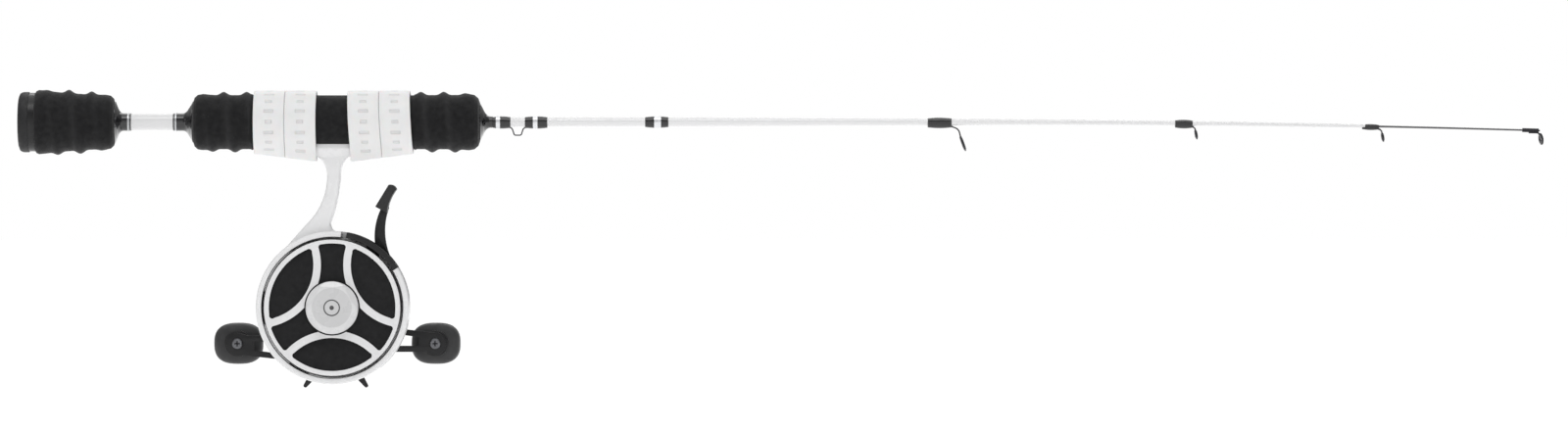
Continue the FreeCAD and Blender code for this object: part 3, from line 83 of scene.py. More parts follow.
class Finish:
    """A node material: a principled shader that grain, mottling and lines are added to."""

    def __init__(self, name, colour, roughness, **sockets):
        self.material = bpy.data.materials.new(name)
        self.material.use_nodes = True
        self.tree = self.material.node_tree
        self.shader = self.tree.nodes["Principled BSDF"]
        self.place = self.tree.nodes.new("ShaderNodeTexCoord").outputs["Object"]
        self.colour = colour
        self.roughness = roughness
        self.paint = None
        self.bump = None
        self.set("Base Color", (*colour, 1))
        self.set("Roughness", roughness)
        for socket, value in sockets.items():
            self.set(socket.replace("_", " "), value)

    def set(self, socket, value):
        self.shader.inputs[socket].default_value = value

    def node(self, kind, settings=None, **inputs):
        """Adds a node; an input given as another node's socket is linked, a value is set."""
        made = self.tree.nodes.new("ShaderNode" + kind)
        for name, value in (settings or {}).items():
            setattr(made, name, value)
        for name, value in inputs.items():
            key = int(name[1:]) if name[0] == "i" and name[1:].isdigit() else name.replace("_", " ")
            self.feed(made.inputs[key], value)
        return made

    def feed(self, socket, value):
        if isinstance(value, bpy.types.NodeSocket):
            self.tree.links.new(value, socket)
        else:
            socket.default_value = value

    def math(self, operation, a, b=0.0, c=0.0):
        return self.node("Math", {"operation": operation}, i0=a, i1=b, i2=c).outputs[0]

    def ramp(self, value, low, high, to_low=0.0, to_high=1.0):
        """Smoothly carries value from low..high to to_low..to_high."""
        made = self.node("MapRange", {"interpolation_type": "SMOOTHSTEP"}, Value=value, From_Min=low,
                         From_Max=high, To_Min=to_low, To_Max=to_high)
        return made.outputs["Result"]

    def noise(self, size, detail=3.0, stretch=(1, 1, 1)):
        """Cloudy noise whose features are size mm across, drawn out along an axis by stretch."""
        spread = self.node("Mapping", Vector=self.place, Scale=stretch).outputs["Vector"]
        return self.node("TexNoise", Vector=spread, Scale=1 / (size * MM), Detail=detail).outputs["Fac"]

    def cells(self, size):
        """Distance to the middle of the nearest cell, for cells size mm apart."""
        made = self.node("TexVoronoi", {"feature": "F1"}, Vector=self.place, Scale=1 / (size * MM))
        return made.outputs["Distance"]

    def relief(self, height, depth, strength=1.0):
        """Raises the surface by depth mm where height is 1."""
        made = self.node("Bump", Height=height, Distance=depth * MM, Strength=strength)
        if self.bump:
            self.tree.links.new(self.bump, made.inputs["Normal"])
        self.bump = made.outputs["Normal"]
        self.tree.links.new(self.bump, self.shader.inputs["Normal"])

    def tint(self, mask, colour):
        """Lays colour over the paint where mask is 1."""
        under = self.paint or (*self.colour, 1)
        made = self.node("Mix", {"data_type": "RGBA"}, i0=mask, i6=under, i7=(*colour, 1))
        self.paint = made.outputs[2]
        self.tree.links.new(self.paint, self.shader.inputs["Base Color"])

    def mottle(self, size, amount, detail=2.0):
        """Lightens and darkens the paint in soft patches size mm across."""
        patch = self.noise(size, detail)
        self.tint(self.ramp(patch, 0.5, 0.75, 0.0, 1.0), [c * (1 + amount) for c in self.colour])
        self.tint(self.ramp(patch, 0.5, 0.25, 0.0, 1.0), [c * (1 - amount) for c in self.colour])

    def wear(self, size, amount):
        """Varies the roughness in patches size mm across."""
        patch = self.noise(size, 4.0)
        smoothest, roughest = self.roughness * (1 - amount), min(1.0, self.roughness * (1 + amount))
        rough = self.ramp(patch, 0.3, 0.7, smoothest, roughest)
        self.tree.links.new(rough, self.shader.inputs["Roughness"])

    def station(self, axis):
        """Where a point lies along an axis, in metres."""
        return self.node("SeparateXYZ", Vector=self.place).outputs["XYZ".index(axis)]

    def wave(self, along, pitch):
        """A sine of a distance in metres, pitch mm long."""
        return self.math("SINE", self.math("MULTIPLY", along, 2 * math.pi / (pitch * MM)))

    def lines(self, axis, pitch):
        """Fine ridges across an axis, pitch mm apart, from 0 in the grooves to 1 on the crowns."""
        return self.math("MULTIPLY_ADD", self.wave(self.station(axis), pitch), 0.5, 0.5)

    def off_axis(self, axis_point):
        """How far a point lies along X and Z from an axis along Y, in metres."""
        moved = self.node("Mapping", Vector=self.place, Location=(-axis_point.x, 0, -axis_point.z))
        parts = self.node("SeparateXYZ", Vector=moved.outputs["Vector"])
        return parts.outputs[0], parts.outputs[2]

    def reach(self, axis_point):
        """Distance in metres from an axis along Y through axis_point."""
        squares = [self.math("POWER", side, 2.0) for side in self.off_axis(axis_point)]
        return self.math("SQRT", self.math("ADD", *squares))

    def ring(self, far, start, end):
        """1 where a distance in metres lies between start and end mm, with crisp edges."""
        inside = self.ramp(far, (start - 0.02) * MM, start * MM)
        return self.math("MULTIPLY", inside, self.ramp(far, (end + 0.02) * MM, end * MM))

    def turned_rings(self, axis_point, pitch, depth):
        """Concentric tool marks round an axis along Y."""
        self.relief(self.wave(self.reach(axis_point), pitch), depth)


def eva_foam():
    """Closed-cell foam, ground smooth: pin-prick cells, a soft bloom, and a painted highlight along the
    ridge crests.
    """
    foam = Finish("eva_foam", (0.0088, 0.0088, 0.0094), 0.88, Specular_IOR_Level=0.2, Sheen_Weight=0.12,
                  Sheen_Roughness=0.45)
    foam.mottle(2.4, 0.3, 5.0)
    crest = foam.node("Attribute", {"attribute_name": "crest"}).outputs["Fac"]
    # Painted highlight: the ridge crests are painted lighter than the rest of the foam.
    foam.tint(foam.math("MULTIPLY", crest, 0.6), (0.021, 0.021, 0.022))
    foam.tint(foam.ramp(foam.cells(3.4), 0.045, 0.02), (0.07, 0.07, 0.073))
    foam.wear(3.0, 0.12)
    foam.relief(foam.noise(0.5, 6.0), 0.11, 0.8)
    foam.relief(foam.ramp(foam.cells(0.42), 0.0, 0.5), 0.05, 0.7)
    return foam.material


def butt_foam():
    """The denser foam of the butt cap, turned on a lathe."""
    foam = Finish("butt_foam", (0.014, 0.014, 0.015), 0.6, Specular_IOR_Level=0.25, Sheen_Weight=0.04)
    foam.mottle(3.0, 0.2, 4.0)
    foam.wear(2.0, 0.15)
    foam.relief(foam.lines("X", 0.55), 0.012, 0.5)
    foam.relief(foam.noise(0.35, 5.0), 0.045, 0.6)
    return foam.material


def satin_black(name="satin_black", shade=0.008, roughness=0.4):
    plastic = Finish(name, (shade, shade, shade * 1.06), roughness, Specular_IOR_Level=0.3)
    plastic.mottle(6.0, 0.25)
    plastic.wear(4.0, 0.18)
    plastic.relief(plastic.noise(0.22, 4.0), 0.012, 0.6)
    return plastic.material


def polished_black():
    """Black lacquered trim that mirrors the lamps, with a fine silver line near two sleeves' ends."""
    trim = Finish("polished_black", (0.005, 0.005, 0.006), 0.2, Specular_IOR_Level=0.25, Coat_Weight=0.8,
                  Coat_Roughness=0.04)
    trim.mottle(5.0, 0.3)
    line_inset = 0.85 * MM
    rear_end, middle_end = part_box("rear_winding_check")[1][0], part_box("middle_winding_check")[0][0]
    for line in (rear_end - line_inset, middle_end + line_inset):
        off = trim.math("ABSOLUTE", trim.math("SUBTRACT", trim.station("X"), line))
        trim.tint(trim.ramp(off, 0.2 * MM, 0.12 * MM), (0.45, 0.46, 0.47))
    trim.relief(trim.noise(3.5, 2.0), 0.02, 0.5)
    return trim.material


def tube_white():
    """The satin white tube between the grips, with a faint pearl."""
    tube = Finish("tube_white", (0.64, 0.64, 0.645), 0.34, Coat_Weight=0.3, Coat_Roughness=0.2)
    tube.mottle(6.0, 0.012, 3.0)
    tube.wear(5.0, 0.12)
    tube.relief(tube.noise(1.6, 2.0), 0.003, 0.5)
    return tube.material


def blank_white():
    """Gloss lacquer over the blank: the winding tape shows as a very faint spiral."""
    lacquer = Finish("blank_white", (0.66, 0.66, 0.665), 0.24, Coat_Weight=0.7, Coat_Roughness=0.07)
    lacquer.mottle(9.0, 0.015, 3.0)
    lacquer.relief(lacquer.lines("X", 3.1), 0.004, 0.5)
    lacquer.relief(lacquer.noise(1.8, 2.0), 0.003, 0.5)
    return lacquer.material


def bound_thread(name, shade, metallic=0.0):
    """Thread laid turn beside turn under clear epoxy, with painted shade in the grooves between turns."""
    thread = Finish(name, shade, 0.36, Metallic=metallic, Specular_IOR_Level=0.15, Coat_Weight=0.85,
                    Coat_Roughness=0.03)
    turn = thread.lines("X", 0.24)
    # Painted shade: the grooves between turns are darkened.
    thread.tint(thread.ramp(turn, 0.35, 0.0, 0.0, 0.7), [c * 0.35 for c in shade])
    thread.relief(turn, 0.014)
    return thread.material


def silicone():
    """Stretchy white rubber with a row of pressed-in bars round each band, the bars greyed with painted
    shade.
    """
    rubber = Finish("white_silicone", (0.70, 0.70, 0.70), 0.48, Specular_IOR_Level=0.34,
                    Subsurface_Weight=0.12, Subsurface_Scale=0.002)
    rubber.mottle(5.0, 0.025, 4.0)
    rubber.wear(3.0, 0.15)
    laid = rubber.node("UVMap", {"uv_map": "round_band"}).outputs["UV"]
    parts = rubber.node("SeparateXYZ", Vector=laid)
    across, around = parts.outputs[0], parts.outputs[1]
    row = rubber.math("ABSOLUTE", rubber.math("SUBTRACT", across, 0.5))
    step = rubber.math("FRACT", around)
    bar = rubber.math("ABSOLUTE", rubber.math("SUBTRACT", step, 0.5))
    long_bar = rubber.math("FRACT", rubber.math("MULTIPLY", rubber.math("FLOOR", around), 0.5))
    half_length = rubber.math("MULTIPLY_ADD", long_bar, -0.1, 0.155)
    inside_row = rubber.ramp(rubber.math("SUBTRACT", half_length, row), -0.012, 0.02)
    inside_bar = rubber.ramp(bar, 0.17, 0.11)
    pressed = rubber.math("MULTIPLY", inside_row, inside_bar)
    # Painted shade: the pressed-in bars are greyed.
    rubber.tint(rubber.math("MULTIPLY", pressed, 0.45), (0.52, 0.52, 0.525))
    rubber.relief(pressed, -0.3)
    rubber.relief(rubber.noise(0.25, 4.0), 0.012, 0.6)
    return rubber.material


def reel_white(name="reel_white", shade=0.70, coat=0.5, painted_shade_rings=()):
    """Painted reel moulding: gloss, with the slight waviness of spray, and rings beside the running gaps
    painted black as painted shade.
    """
    paint = Finish(name, (shade, shade, shade * 1.008), 0.27, Coat_Weight=coat, Coat_Roughness=0.09)
    paint.mottle(14.0, 0.018, 3.0)
    for start, end in painted_shade_rings:
        ring = paint.ring(paint.reach(SPOOL_AXIS), start, end)
        spool_middle = middle_of("spool").y
        front = paint.ramp(paint.station("Y"), spool_middle, spool_middle - 0.5 * MM)
        # Painted shade: each ring beside a running gap is made near black on the front side.
        paint.tint(paint.math("MULTIPLY", ring, front), (0.006, 0.006, 0.0065))
    paint.wear(9.0, 0.14)
    paint.relief(paint.noise(1.4, 2.0), 0.012, 0.5)
    return paint.material


def cap_white():
    """The cap's paint: a greyer disc inside the flats, which is painted shade, with a plain printed ring
    and dot.
    """
    paint = Finish("cap_white", (0.60, 0.60, 0.605), 0.3, Coat_Weight=0.5, Coat_Roughness=0.1)
    paint.mottle(9.0, 0.02, 3.0)
    far = paint.reach(SPOOL_AXIS)
    # Painted shade: the flat disc inside the flats is painted greyer than the bevel.
    paint.tint(paint.ramp(far, 9.3 * MM, 9.15 * MM), (0.5, 0.5, 0.505))
    off_ring = paint.math("ABSOLUTE", paint.math("SUBTRACT", far, 3.6 * MM))
    ring = paint.ramp(off_ring, 0.34 * MM, 0.26 * MM)
    dot = paint.ramp(far, 1.1 * MM, 1.0 * MM)
    paint.tint(paint.math("MAXIMUM", ring, dot), (0.03, 0.03, 0.032))
    paint.wear(6.0, 0.15)
    paint.relief(paint.noise(1.4, 2.0), 0.01, 0.5)
    return paint.material


def face_black():
    """Soft matt lacquer of the spool's face, with a fine spark-eroded grain."""
    pad = Finish("face_black", (0.0105, 0.0105, 0.0112), 0.72, Specular_IOR_Level=0.18)
    pad.mottle(3.0, 0.22, 5.0)
    pad.wear(2.0, 0.1)
    pad.relief(pad.noise(0.16, 5.0), 0.03, 0.8)
    return pad.material


def soft_touch(name="soft_touch", shade=0.03):
    """Rubbery knob coating."""
    coat = Finish(name, (shade, shade, shade * 1.03), 0.56, Specular_IOR_Level=0.3, Sheen_Weight=0.12,
                  Sheen_Roughness=0.4)
    coat.mottle(4.0, 0.16, 4.0)
    coat.wear(3.0, 0.15)
    coat.relief(coat.noise(0.2, 5.0), 0.02, 0.7)
    return coat.material


def machined(name, colour, axis_point, roughness=0.28, pitch=0.35, cross=None):
    """Turned metal with tool marks round its own axis; cross is the length in mm of a screw's recess,
    which is painted dark as painted shade.
    """
    metal = Finish(name, colour, roughness, Metallic=1.0)
    metal.mottle(2.5, 0.12, 4.0)
    if cross:
        sides = [metal.math("ABSOLUTE", side) for side in metal.off_axis(axis_point)]
        arm = metal.ramp(metal.math("MINIMUM", *sides), 0.3 * MM, 0.2 * MM)
        length = metal.ramp(metal.math("MAXIMUM", *sides), cross / 2 * MM, (cross / 2 - 0.1) * MM)
        recess = metal.math("MULTIPLY", arm, length)
        # Painted shade: the screw's cross recess is made near black.
        metal.tint(recess, (0.01, 0.01, 0.011))
        metal.relief(recess, -0.3)
    metal.wear(1.5, 0.25)
    metal.turned_rings(axis_point, pitch, 0.006)
    return metal.material


def anodised(name="anodised_black", shade=0.008, roughness=0.36):
    """Blasted and anodised black metal."""
    metal = Finish(name, (shade, shade, shade * 1.08), roughness, Metallic=0.1, Specular_IOR_Level=0.3)
    metal.mottle(5.0, 0.25, 4.0)
    metal.wear(2.5, 0.2)
    metal.relief(metal.noise(0.14, 4.0), 0.014, 0.7)
    return metal.material


def blued_wire():
    wire = Finish("blued_wire", (0.022, 0.022, 0.025), 0.3, Metallic=0.75)
    wire.mottle(1.2, 0.3, 4.0)
    wire.wear(1.0, 0.3)
    wire.relief(wire.noise(0.2, 3.0), 0.006, 0.5)
    return wire.material


def ring_ceramic():
    """Polished hard ceramic that the line runs through."""
    ceramic = Finish("ring_ceramic", (0.035, 0.035, 0.04), 0.1, Coat_Weight=0.6, Coat_Roughness=0.03)
    ceramic.mottle(0.8, 0.25, 4.0)
    ceramic.wear(0.8, 0.3)
    return ceramic.material


def tip_glass():
    """The solid glass tip under dark clear lacquer."""
    glass = Finish("tip_glass", (0.018, 0.018, 0.021), 0.18, Coat_Weight=1.0, Coat_Roughness=0.05)
    glass.mottle(2.0, 0.3, 4.0)
    glass.relief(glass.noise(0.5, 3.0, (0.1, 1, 1)), 0.008, 0.6)
    return glass.material


def pressed_fibre():
    fibre = Finish("pressed_fibre", (0.11, 0.085, 0.06), 0.8, Specular_IOR_Level=0.25)
    fibre.mottle(0.6, 0.45, 6.0)
    fibre.relief(fibre.noise(0.18, 5.0), 0.03)
    return fibre.material


def studio_floor():
    floor = Finish("studio_floor", (0.88, 0.88, 0.88), 0.8, Specular_IOR_Level=0.1,
                   Emission_Color=(1, 1, 1, 1), Emission_Strength=0.42)
    floor.mottle(900.0, 0.008)
    floor.relief(floor.noise(4.0, 3.0), 0.05, 0.2)
    return floor.material


# ---------------------------------------------------------------- making pieces

def finished(name, bm, node, material, angle=34):
    """Turns a bmesh into a piece that rides with node and stands for it.

    Edges that turn by more than angle degrees stay crisp.
    """
    mesh = bpy.data.meshes.new(name)
    for face in bm.faces:
        face.smooth = True
    bm.to_mesh(mesh)
    bm.free()
    mesh.set_sharp_from_angle(angle=math.radians(angle))
    piece = bpy.data.objects.new(name, mesh)
    bpy.context.scene.collection.objects.link(piece)
    mesh.materials.append(material)
    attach(piece, BODY_OF[node])
    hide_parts(node)
    return piece


def softened(node, material, edge, segments=2):
    """A copy of a CAD part with its sharp edges broken by edge mm."""
    sharp_from = math.radians(32)
    bm = bmesh.new()
    bm.from_mesh(frame["nodes"][node].data)
    bmesh.ops.remove_doubles(bm, verts=bm.verts, dist=3e-6)
    bmesh.ops.dissolve_limit(bm, angle_limit=math.radians(0.6), use_dissolve_boundaries=False,
                             verts=bm.verts, edges=bm.edges, delimit={"NORMAL"})
    sharp = [e for e in bm.edges if len(e.link_faces) == 2 and e.calc_face_angle(0) > sharp_from]
    bmesh.ops.bevel(bm, geom=sharp, offset=edge * MM, offset_type="OFFSET", segments=segments,
                    profile=0.5, affect="EDGES", clamp_overlap=True, material=-1)
    return finished(node + "_moulding", bm, node, material)


def turned(profile, steps=96, cuts=0, axis="X", centre=Vector((0, 0, 0)), longest=None):
    """Spins (station, radius) points in mm round X or Y; points with no radius close the ends.

    Every run of the profile is cut cuts times, or into pieces no longer than longest mm.
    """
    bm = bmesh.new()
    direction = Vector((1, 0, 0)) if axis == "X" else Vector((0, 1, 0))
    verts = [bm.verts.new(centre + direction * (x * MM) + Vector((0, 0, r * MM))) for x, r in profile]
    edges = [bm.edges.new(pair) for pair in zip(verts, verts[1:])]
    for edge in edges:
        pieces = int(edge.calc_length() / (longest * MM)) if longest else cuts
        if pieces:
            bmesh.ops.subdivide_edges(bm, edges=[edge], cuts=pieces)
    bmesh.ops.spin(bm, geom=bm.verts[:] + bm.edges[:], cent=centre, axis=direction, angle=2 * math.pi,
                   steps=steps, use_merge=True)
    bmesh.ops.remove_doubles(bm, verts=bm.verts, dist=2e-6)
    bmesh.ops.recalc_face_normals(bm, faces=bm.faces)
    return bm


def paint(node, material):
    """Gives a CAD part its finish."""
    mesh = frame["nodes"][node].data
    mesh.materials.clear()
    mesh.materials.append(material)


# ---------------------------------------------------------------- foam

TUBE_FIT = 3.9
RIDGE_PITCH = 10.7
RIDGE_HALF_WIDTH = 2.05
GROUND_IN = 0.6


def ridge_height(x, turn, first_crest):
    """The helical ridge at a point: 1 on its crest, falling in a soft hollow between turns."""
    away = ((x - first_crest) / RIDGE_PITCH - turn / (2 * math.pi)) % 1.0
    away = min(away, 1 - away) * RIDGE_PITCH
    return math.exp(-(away / RIDGE_HALF_WIDTH) ** 2) + 0.1 * (away / (RIDGE_PITCH / 2)) ** 2


def fade(x, start, full, still_full, end):
    """Rises from 0 at start to 1 at full, and falls from still_full to 0 at end."""
    share = min((x - start) / (full - start), (end - x) / (end - still_full), 1.0)
    share = max(0.0, share)
    return share * share * (3 - 2 * share)


def add_ridges(bm, first_crest, height, zones):
    """Raises helical finger ridges on a turned foam grip, and marks their crests for the foam's painted
    highlight.
    """
    crest = bm.verts.layers.float.get("crest") or bm.verts.layers.float.new("crest")
    for vert in bm.verts:
        x, y, z = (c / MM for c in vert.co)
        radius = math.hypot(y, z)
        if radius < 9:
            continue
        turn = math.atan2(-y, z)
        strength = max(fade(x, *zone) for zone in zones)
        near = ridge_height(x, turn, first_crest)
        vert[crest] += strength * near ** 3
        lift = strength * (height * near - GROUND_IN)
        scale = (radius + lift) / radius
        vert.co.y *= scale
        vert.co.z *= scale


def rear_grip(material):
    low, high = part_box("rear_grip")
    x1, x2 = low[0] / MM, high[0] / MM
    wide, narrow = 15.0, 12.6
    bm = turned([
        (x1, TUBE_FIT), (x1, wide - 1.6), (x1 + 0.5, wide - 0.5), (x1 + 1.7, wide),
        (x2 - 4.2, narrow + 0.25), (x2 - 1.9, narrow - 0.25), (x2 - 0.5, narrow - 1.6),
        (x2, narrow - 3.4), (x2, TUBE_FIT),
    ], steps=112, longest=0.6)
    add_ridges(bm, -123.2, 1.7, [(x1 + 1, x1 + 14, x2 - 12, x2 - 2.5)])
    piece = finished("rear_grip_foam", bm, "rear_grip", material, angle=60)


def front_grip(material):
    low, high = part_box("front_grip")
    x1, x2 = low[0] / MM, high[0] / MM
    radius, seat = 13.1, 12.55
    seat_rear, seat_front = -36.9, 37.6
    bm = turned([
        (x1, TUBE_FIT), (x1, radius - 3.6), (x1 + 0.6, radius - 1.7), (x1 + 2.1, radius - 0.35),
        (x1 + 4.4, radius), (seat_rear - 0.8, radius), (seat_rear, seat), (0, seat),
        (seat_front, seat), (seat_front + 0.8, radius), (x2 - 5.2, radius + 0.1),
        (x2 - 2.6, radius - 0.4), (x2 - 0.8, radius - 1.9), (x2, radius - 4.0), (x2, TUBE_FIT),
    ], steps=112, longest=0.7)
    add_ridges(bm, -51.1, 1.65, [(x1 + 3, x1 + 12, seat_rear - 1.5, seat_rear - 0.5)])
    add_ridges(bm, 51.6, 1.65, [(seat_front + 0.5, seat_front + 1.5, x2 - 11, x2 - 4)])
    cut_seat(bm, seat_rear, seat_front, -10.2 * MM)
    piece = finished("front_grip_foam", bm, "front_grip", material, angle=50)


def cut_seat(bm, rear, front, floor):
    """Flattens the underside between two stations, where the reel's foot lies."""
    for vert in bm.verts:
        if rear * MM + 1e-4 < vert.co.x < front * MM - 1e-4 and vert.co.z < floor:
            vert.co.z = floor


def butt_cap(material):
    low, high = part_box("butt_cap")
    x1, x2, r = low[0] / MM, high[0] / MM, high[2] / MM
    bm = turned([
        (x1, 0), (x1, r - 4.5), (x1 + 0.12, r - 2.2), (x1 + 0.7, r - 0.75), (x1 + 1.6, r - 0.2),
        (x1 + 2.6, r), (x2 - 0.35, r), (x2 - 0.1, r - 0.12), (x2, r - 0.4), (x2, 0),
    ], steps=128, cuts=1)
    piece = finished("butt_cap_foam", bm, "butt_cap", material, angle=55)


# ---------------------------------------------------------------- winding checks

def winding_check(node, material, way, steps, flare, sleeve, bore):
    """A trumpet of stepped rings from the foam down to a plain sleeve.

    way is 1 where it narrows towards +X. The trumpet is flare mm long, and sleeve and bore are radii.
    """
    low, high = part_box(node)
    start = (low[0] if way > 0 else high[0]) / MM
    length, wide = (high[0] - low[0]) / MM, high[2] / MM
    profile = [(0, bore), (0, wide - 0.35), (0.12, wide - 0.05), (0.32, wide - 0.02)]
    for n in range(steps):
        share = (n + 1) / (steps + 1)
        x, r = flare * (share * 0.62 + 0.02), wide - (wide - sleeve) * (share * 0.86)
        profile += [(x - 0.1, r + 0.14), (x, r - 0.04), (x + 0.04, r - 0.26)]
    x0, r0 = profile[-1]
    for share in (0.25, 0.5, 0.75, 1.0):
        profile.append((x0 + (flare - x0) * share, sleeve + (r0 - sleeve) * (1 - share) ** 2.2))
    profile += [(length - 0.35, sleeve), (length - 0.08, sleeve - 0.06), (length, sleeve - 0.16),
                (length, bore), (0, bore)]
    bm = turned([(start + way * x, r) for x, r in profile], steps=112)
    finished(node + "_trim", bm, node, material, angle=38)


def winding_checks(material):
    winding_check("rear_winding_check", material, 1, 1, flare=3.9, sleeve=4.15, bore=3.85)
    winding_check("middle_winding_check", material, -1, 3, flare=4.9, sleeve=4.15, bore=3.85)
    winding_check("front_winding_check", material, 1, 1, flare=4.9, sleeve=2.7, bore=2.35)


# ---------------------------------------------------------------- bands

FOOT_ROOT, FOOT_REACH = 8.0, 35.0
BARS_ROUND = 18


def band_reach(turn, x):
    """Distance from the rod's axis to a band's inner side, turn being the angle from straight down."""
    share = max(0.0, min(1.0, (abs(x) - FOOT_ROOT) / (FOOT_REACH - FOOT_ROOT)))
    radius = 12.76
    depth = 16.3 + share * (12.9 - 16.3) + 0.2
    keel = 4.0 * (1 - 0.35 * share) + 0.35
    corner = math.atan2(keel, depth)
    turn = abs(turn)
    if turn <= corner:
        return depth / math.cos(turn)
    far = math.hypot(keel, depth)
    leave = corner + math.acos(radius / far)
    if turn >= leave:
        return radius
    return radius / math.cos(leave - turn)


def reel_band(node, material, lean):
    """A stretched silicone loop with a flat outside and rounded lips, its top lean mm off its bottom."""
    low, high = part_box(node)
    half, centre = (high[0] - low[0]) / 2 / MM + 0.03, (low[0] + high[0]) / 2 / MM
    r0, wall = 12.0, 1.9
    profile = [
        (-half + 0.3, r0), (half - 0.3, r0), (half, r0 + 0.3), (half, r0 + wall - 0.42),
        (half - 0.1, r0 + wall - 0.14), (half - 0.36, r0 + wall), (0, r0 + wall + 0.04),
        (-half + 0.36, r0 + wall), (-half + 0.1, r0 + wall - 0.14), (-half, r0 + wall - 0.42),
        (-half, r0 + 0.3), (-half + 0.3, r0),
    ]
    bm = turned(profile, steps=160, cuts=2)
    laid = bm.loops.layers.uv.new("round_band")
    places = {}
    for vert in bm.verts:
        x, y, z = (c / MM for c in vert.co)
        turn = math.atan2(y, -z)
        lift = math.hypot(y, z) - r0
        places[vert] = ((x + half) / (2 * half), turn / (2 * math.pi) * BARS_ROUND)
        reach = band_reach(turn, centre + x)
        beside = band_reach(turn - 0.07, centre + x) + band_reach(turn + 0.07, centre + x)
        smooth = 0.5 * reach + 0.25 * beside
        radius = (max(smooth, reach - 0.02) + lift) * MM
        station = centre + x + lean * math.cos(turn)
        vert.co = Vector((station * MM, radius * math.sin(turn), -radius * math.cos(turn)))
    for face in bm.faces:
        around = [places[loop.vert][1] for loop in face.loops]
        wraps = max(around) - min(around) > BARS_ROUND / 2
        for loop in face.loops:
            u, v = places[loop.vert]
            loop[laid].uv = (u, v + BARS_ROUND if wraps and v < 0 else v)
    bmesh.ops.recalc_face_normals(bm, faces=bm.faces)
    finished(node + "_loop", bm, node, material, angle=60)


def reel_bands(material):
    for node, lean in (("rear_outer_band", 0.0), ("rear_inner_band", 0.0),
                       ("front_inner_band", 0.75), ("front_outer_band", 0.75)):
        reel_band(node, material, lean)


# ---------------------------------------------------------------- reel

def spool_cap(material):
    """A shallow cap whose bevel is cut into six flats."""
    low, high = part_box("spool_cap")
    front, back = low[1] / MM, high[1] / MM
    rim = (high[0] - low[0]) / 2 / MM
    centre = Vector((SPOOL_AXIS.x, 0, SPOOL_AXIS.z))
    bm = turned([
        (front + 0.12, 0), (front + 0.06, 4.0), (front, 9.1), (front + 0.1, 9.45), (front + 0.3, 10.6),
        (front + 0.6, rim - 0.7), (front + 1.5, rim - 0.12), (front + 2.3, rim), (back - 0.5, rim),
        (back - 0.2, rim - 0.15), (back - 0.1, rim - 0.5), (back - 0.1, 3.3),
    ], steps=144, cuts=4, axis="Y", centre=centre)
    for vert in bm.verts:
        x, z = (vert.co.x - centre.x) / MM, (vert.co.z - centre.z) / MM
        y, far = vert.co.y / MM, math.hypot(x, z)
        if y > front + 2.2 or far < 9.2:
            continue
        turn = math.atan2(z, x)
        to_flat = (turn % (math.pi / 3)) - math.pi / 6
        cut = front + 0.08 + (far * math.cos(to_flat) - 9.5) * 0.72
        vert.co.y = max(y, min(cut, front + 2.2)) * MM
    bmesh.ops.recalc_face_normals(bm, faces=bm.faces)
    finished("spool_cap_disc", bm, "spool_cap", material, angle=14)


def crank_knob(node, material):
    """A rounded paddle: a sphere squared off and drawn to the knob's box, open towards the arm."""
    low, high = (Vector(c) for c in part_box(node))
    centre, half = (low + high) / 2, (high - low) / 2
    bm = bmesh.new()
    bmesh.ops.create_uvsphere(bm, u_segments=72, v_segments=48, radius=1.0,
                              matrix=Matrix.Rotation(math.pi / 2, 4, "X"))
    for vert in bm.verts:
        x, y, z = vert.co
        squared = [math.copysign(abs(c) ** p, c) for c, p in ((x, 0.74), (y, 0.62), (z, 0.76))]
        waist = 1 - 0.035 * math.cos(squared[1] * 2.6)
        squared = (squared[0] * waist, squared[1], squared[2] * waist)
        vert.co = centre + Vector(c * h for c, h in zip(squared, half))
        vert.co.x = max(low.x, min(high.x, vert.co.x))
        vert.co.z = max(low.z, min(high.z, vert.co.z))
    bmesh.ops.bisect_plane(bm, geom=bm.verts[:] + bm.edges[:] + bm.faces[:], clear_outer=True,
                           plane_co=(0, low.y + 0.25 * MM, 0), plane_no=(0, -1, 0))
    rim = [e for e in bm.edges if len(e.link_faces) == 1]
    filled = bmesh.ops.holes_fill(bm, edges=rim, sides=0)["faces"]
    bmesh.ops.inset_region(bm, faces=filled, thickness=0.6 * MM, use_even_offset=True)
    bmesh.ops.recalc_face_normals(bm, faces=bm.faces)
    finished(node + "_grip", bm, node, material, angle=45)


def clutch_coil(material):
    """The spring behind the clutch yoke, built as a coil at one length; the real spring shortens against
    the cover as the yoke slides back.
    """
    low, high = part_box("clutch_spring")
    wire, turns, steps, slide = 0.17 * MM, 3.5, 168, 0.8 * MM
    length = high[1] - low[1]
    rise = length - 2 * wire
    coil_radius = (high[0] - low[0]) / 2 - 0.42 * MM
    start = Vector((SPOOL_AXIS.x + coil_radius, low[1] + wire, SPOOL_AXIS.z))
    bm = bmesh.new()
    bmesh.ops.create_circle(bm, segments=12, radius=wire, matrix=Matrix.Translation(start))
    bmesh.ops.spin(bm, geom=bm.verts[:] + bm.edges[:], cent=(SPOOL_AXIS.x, 0, SPOOL_AXIS.z),
                   axis=(0, 1, 0), dvec=(0, rise / steps, 0), angle=2 * math.pi * turns,
                   steps=steps, use_merge=False)
    bmesh.ops.holes_fill(bm, edges=[e for e in bm.edges if e.is_boundary], sides=0)
    bmesh.ops.recalc_face_normals(bm, faces=bm.faces)
    piece = finished("clutch_spring_coil", bm, "clutch_spring", material)
    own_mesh(piece)


# ---------------------------------------------------------------- stage

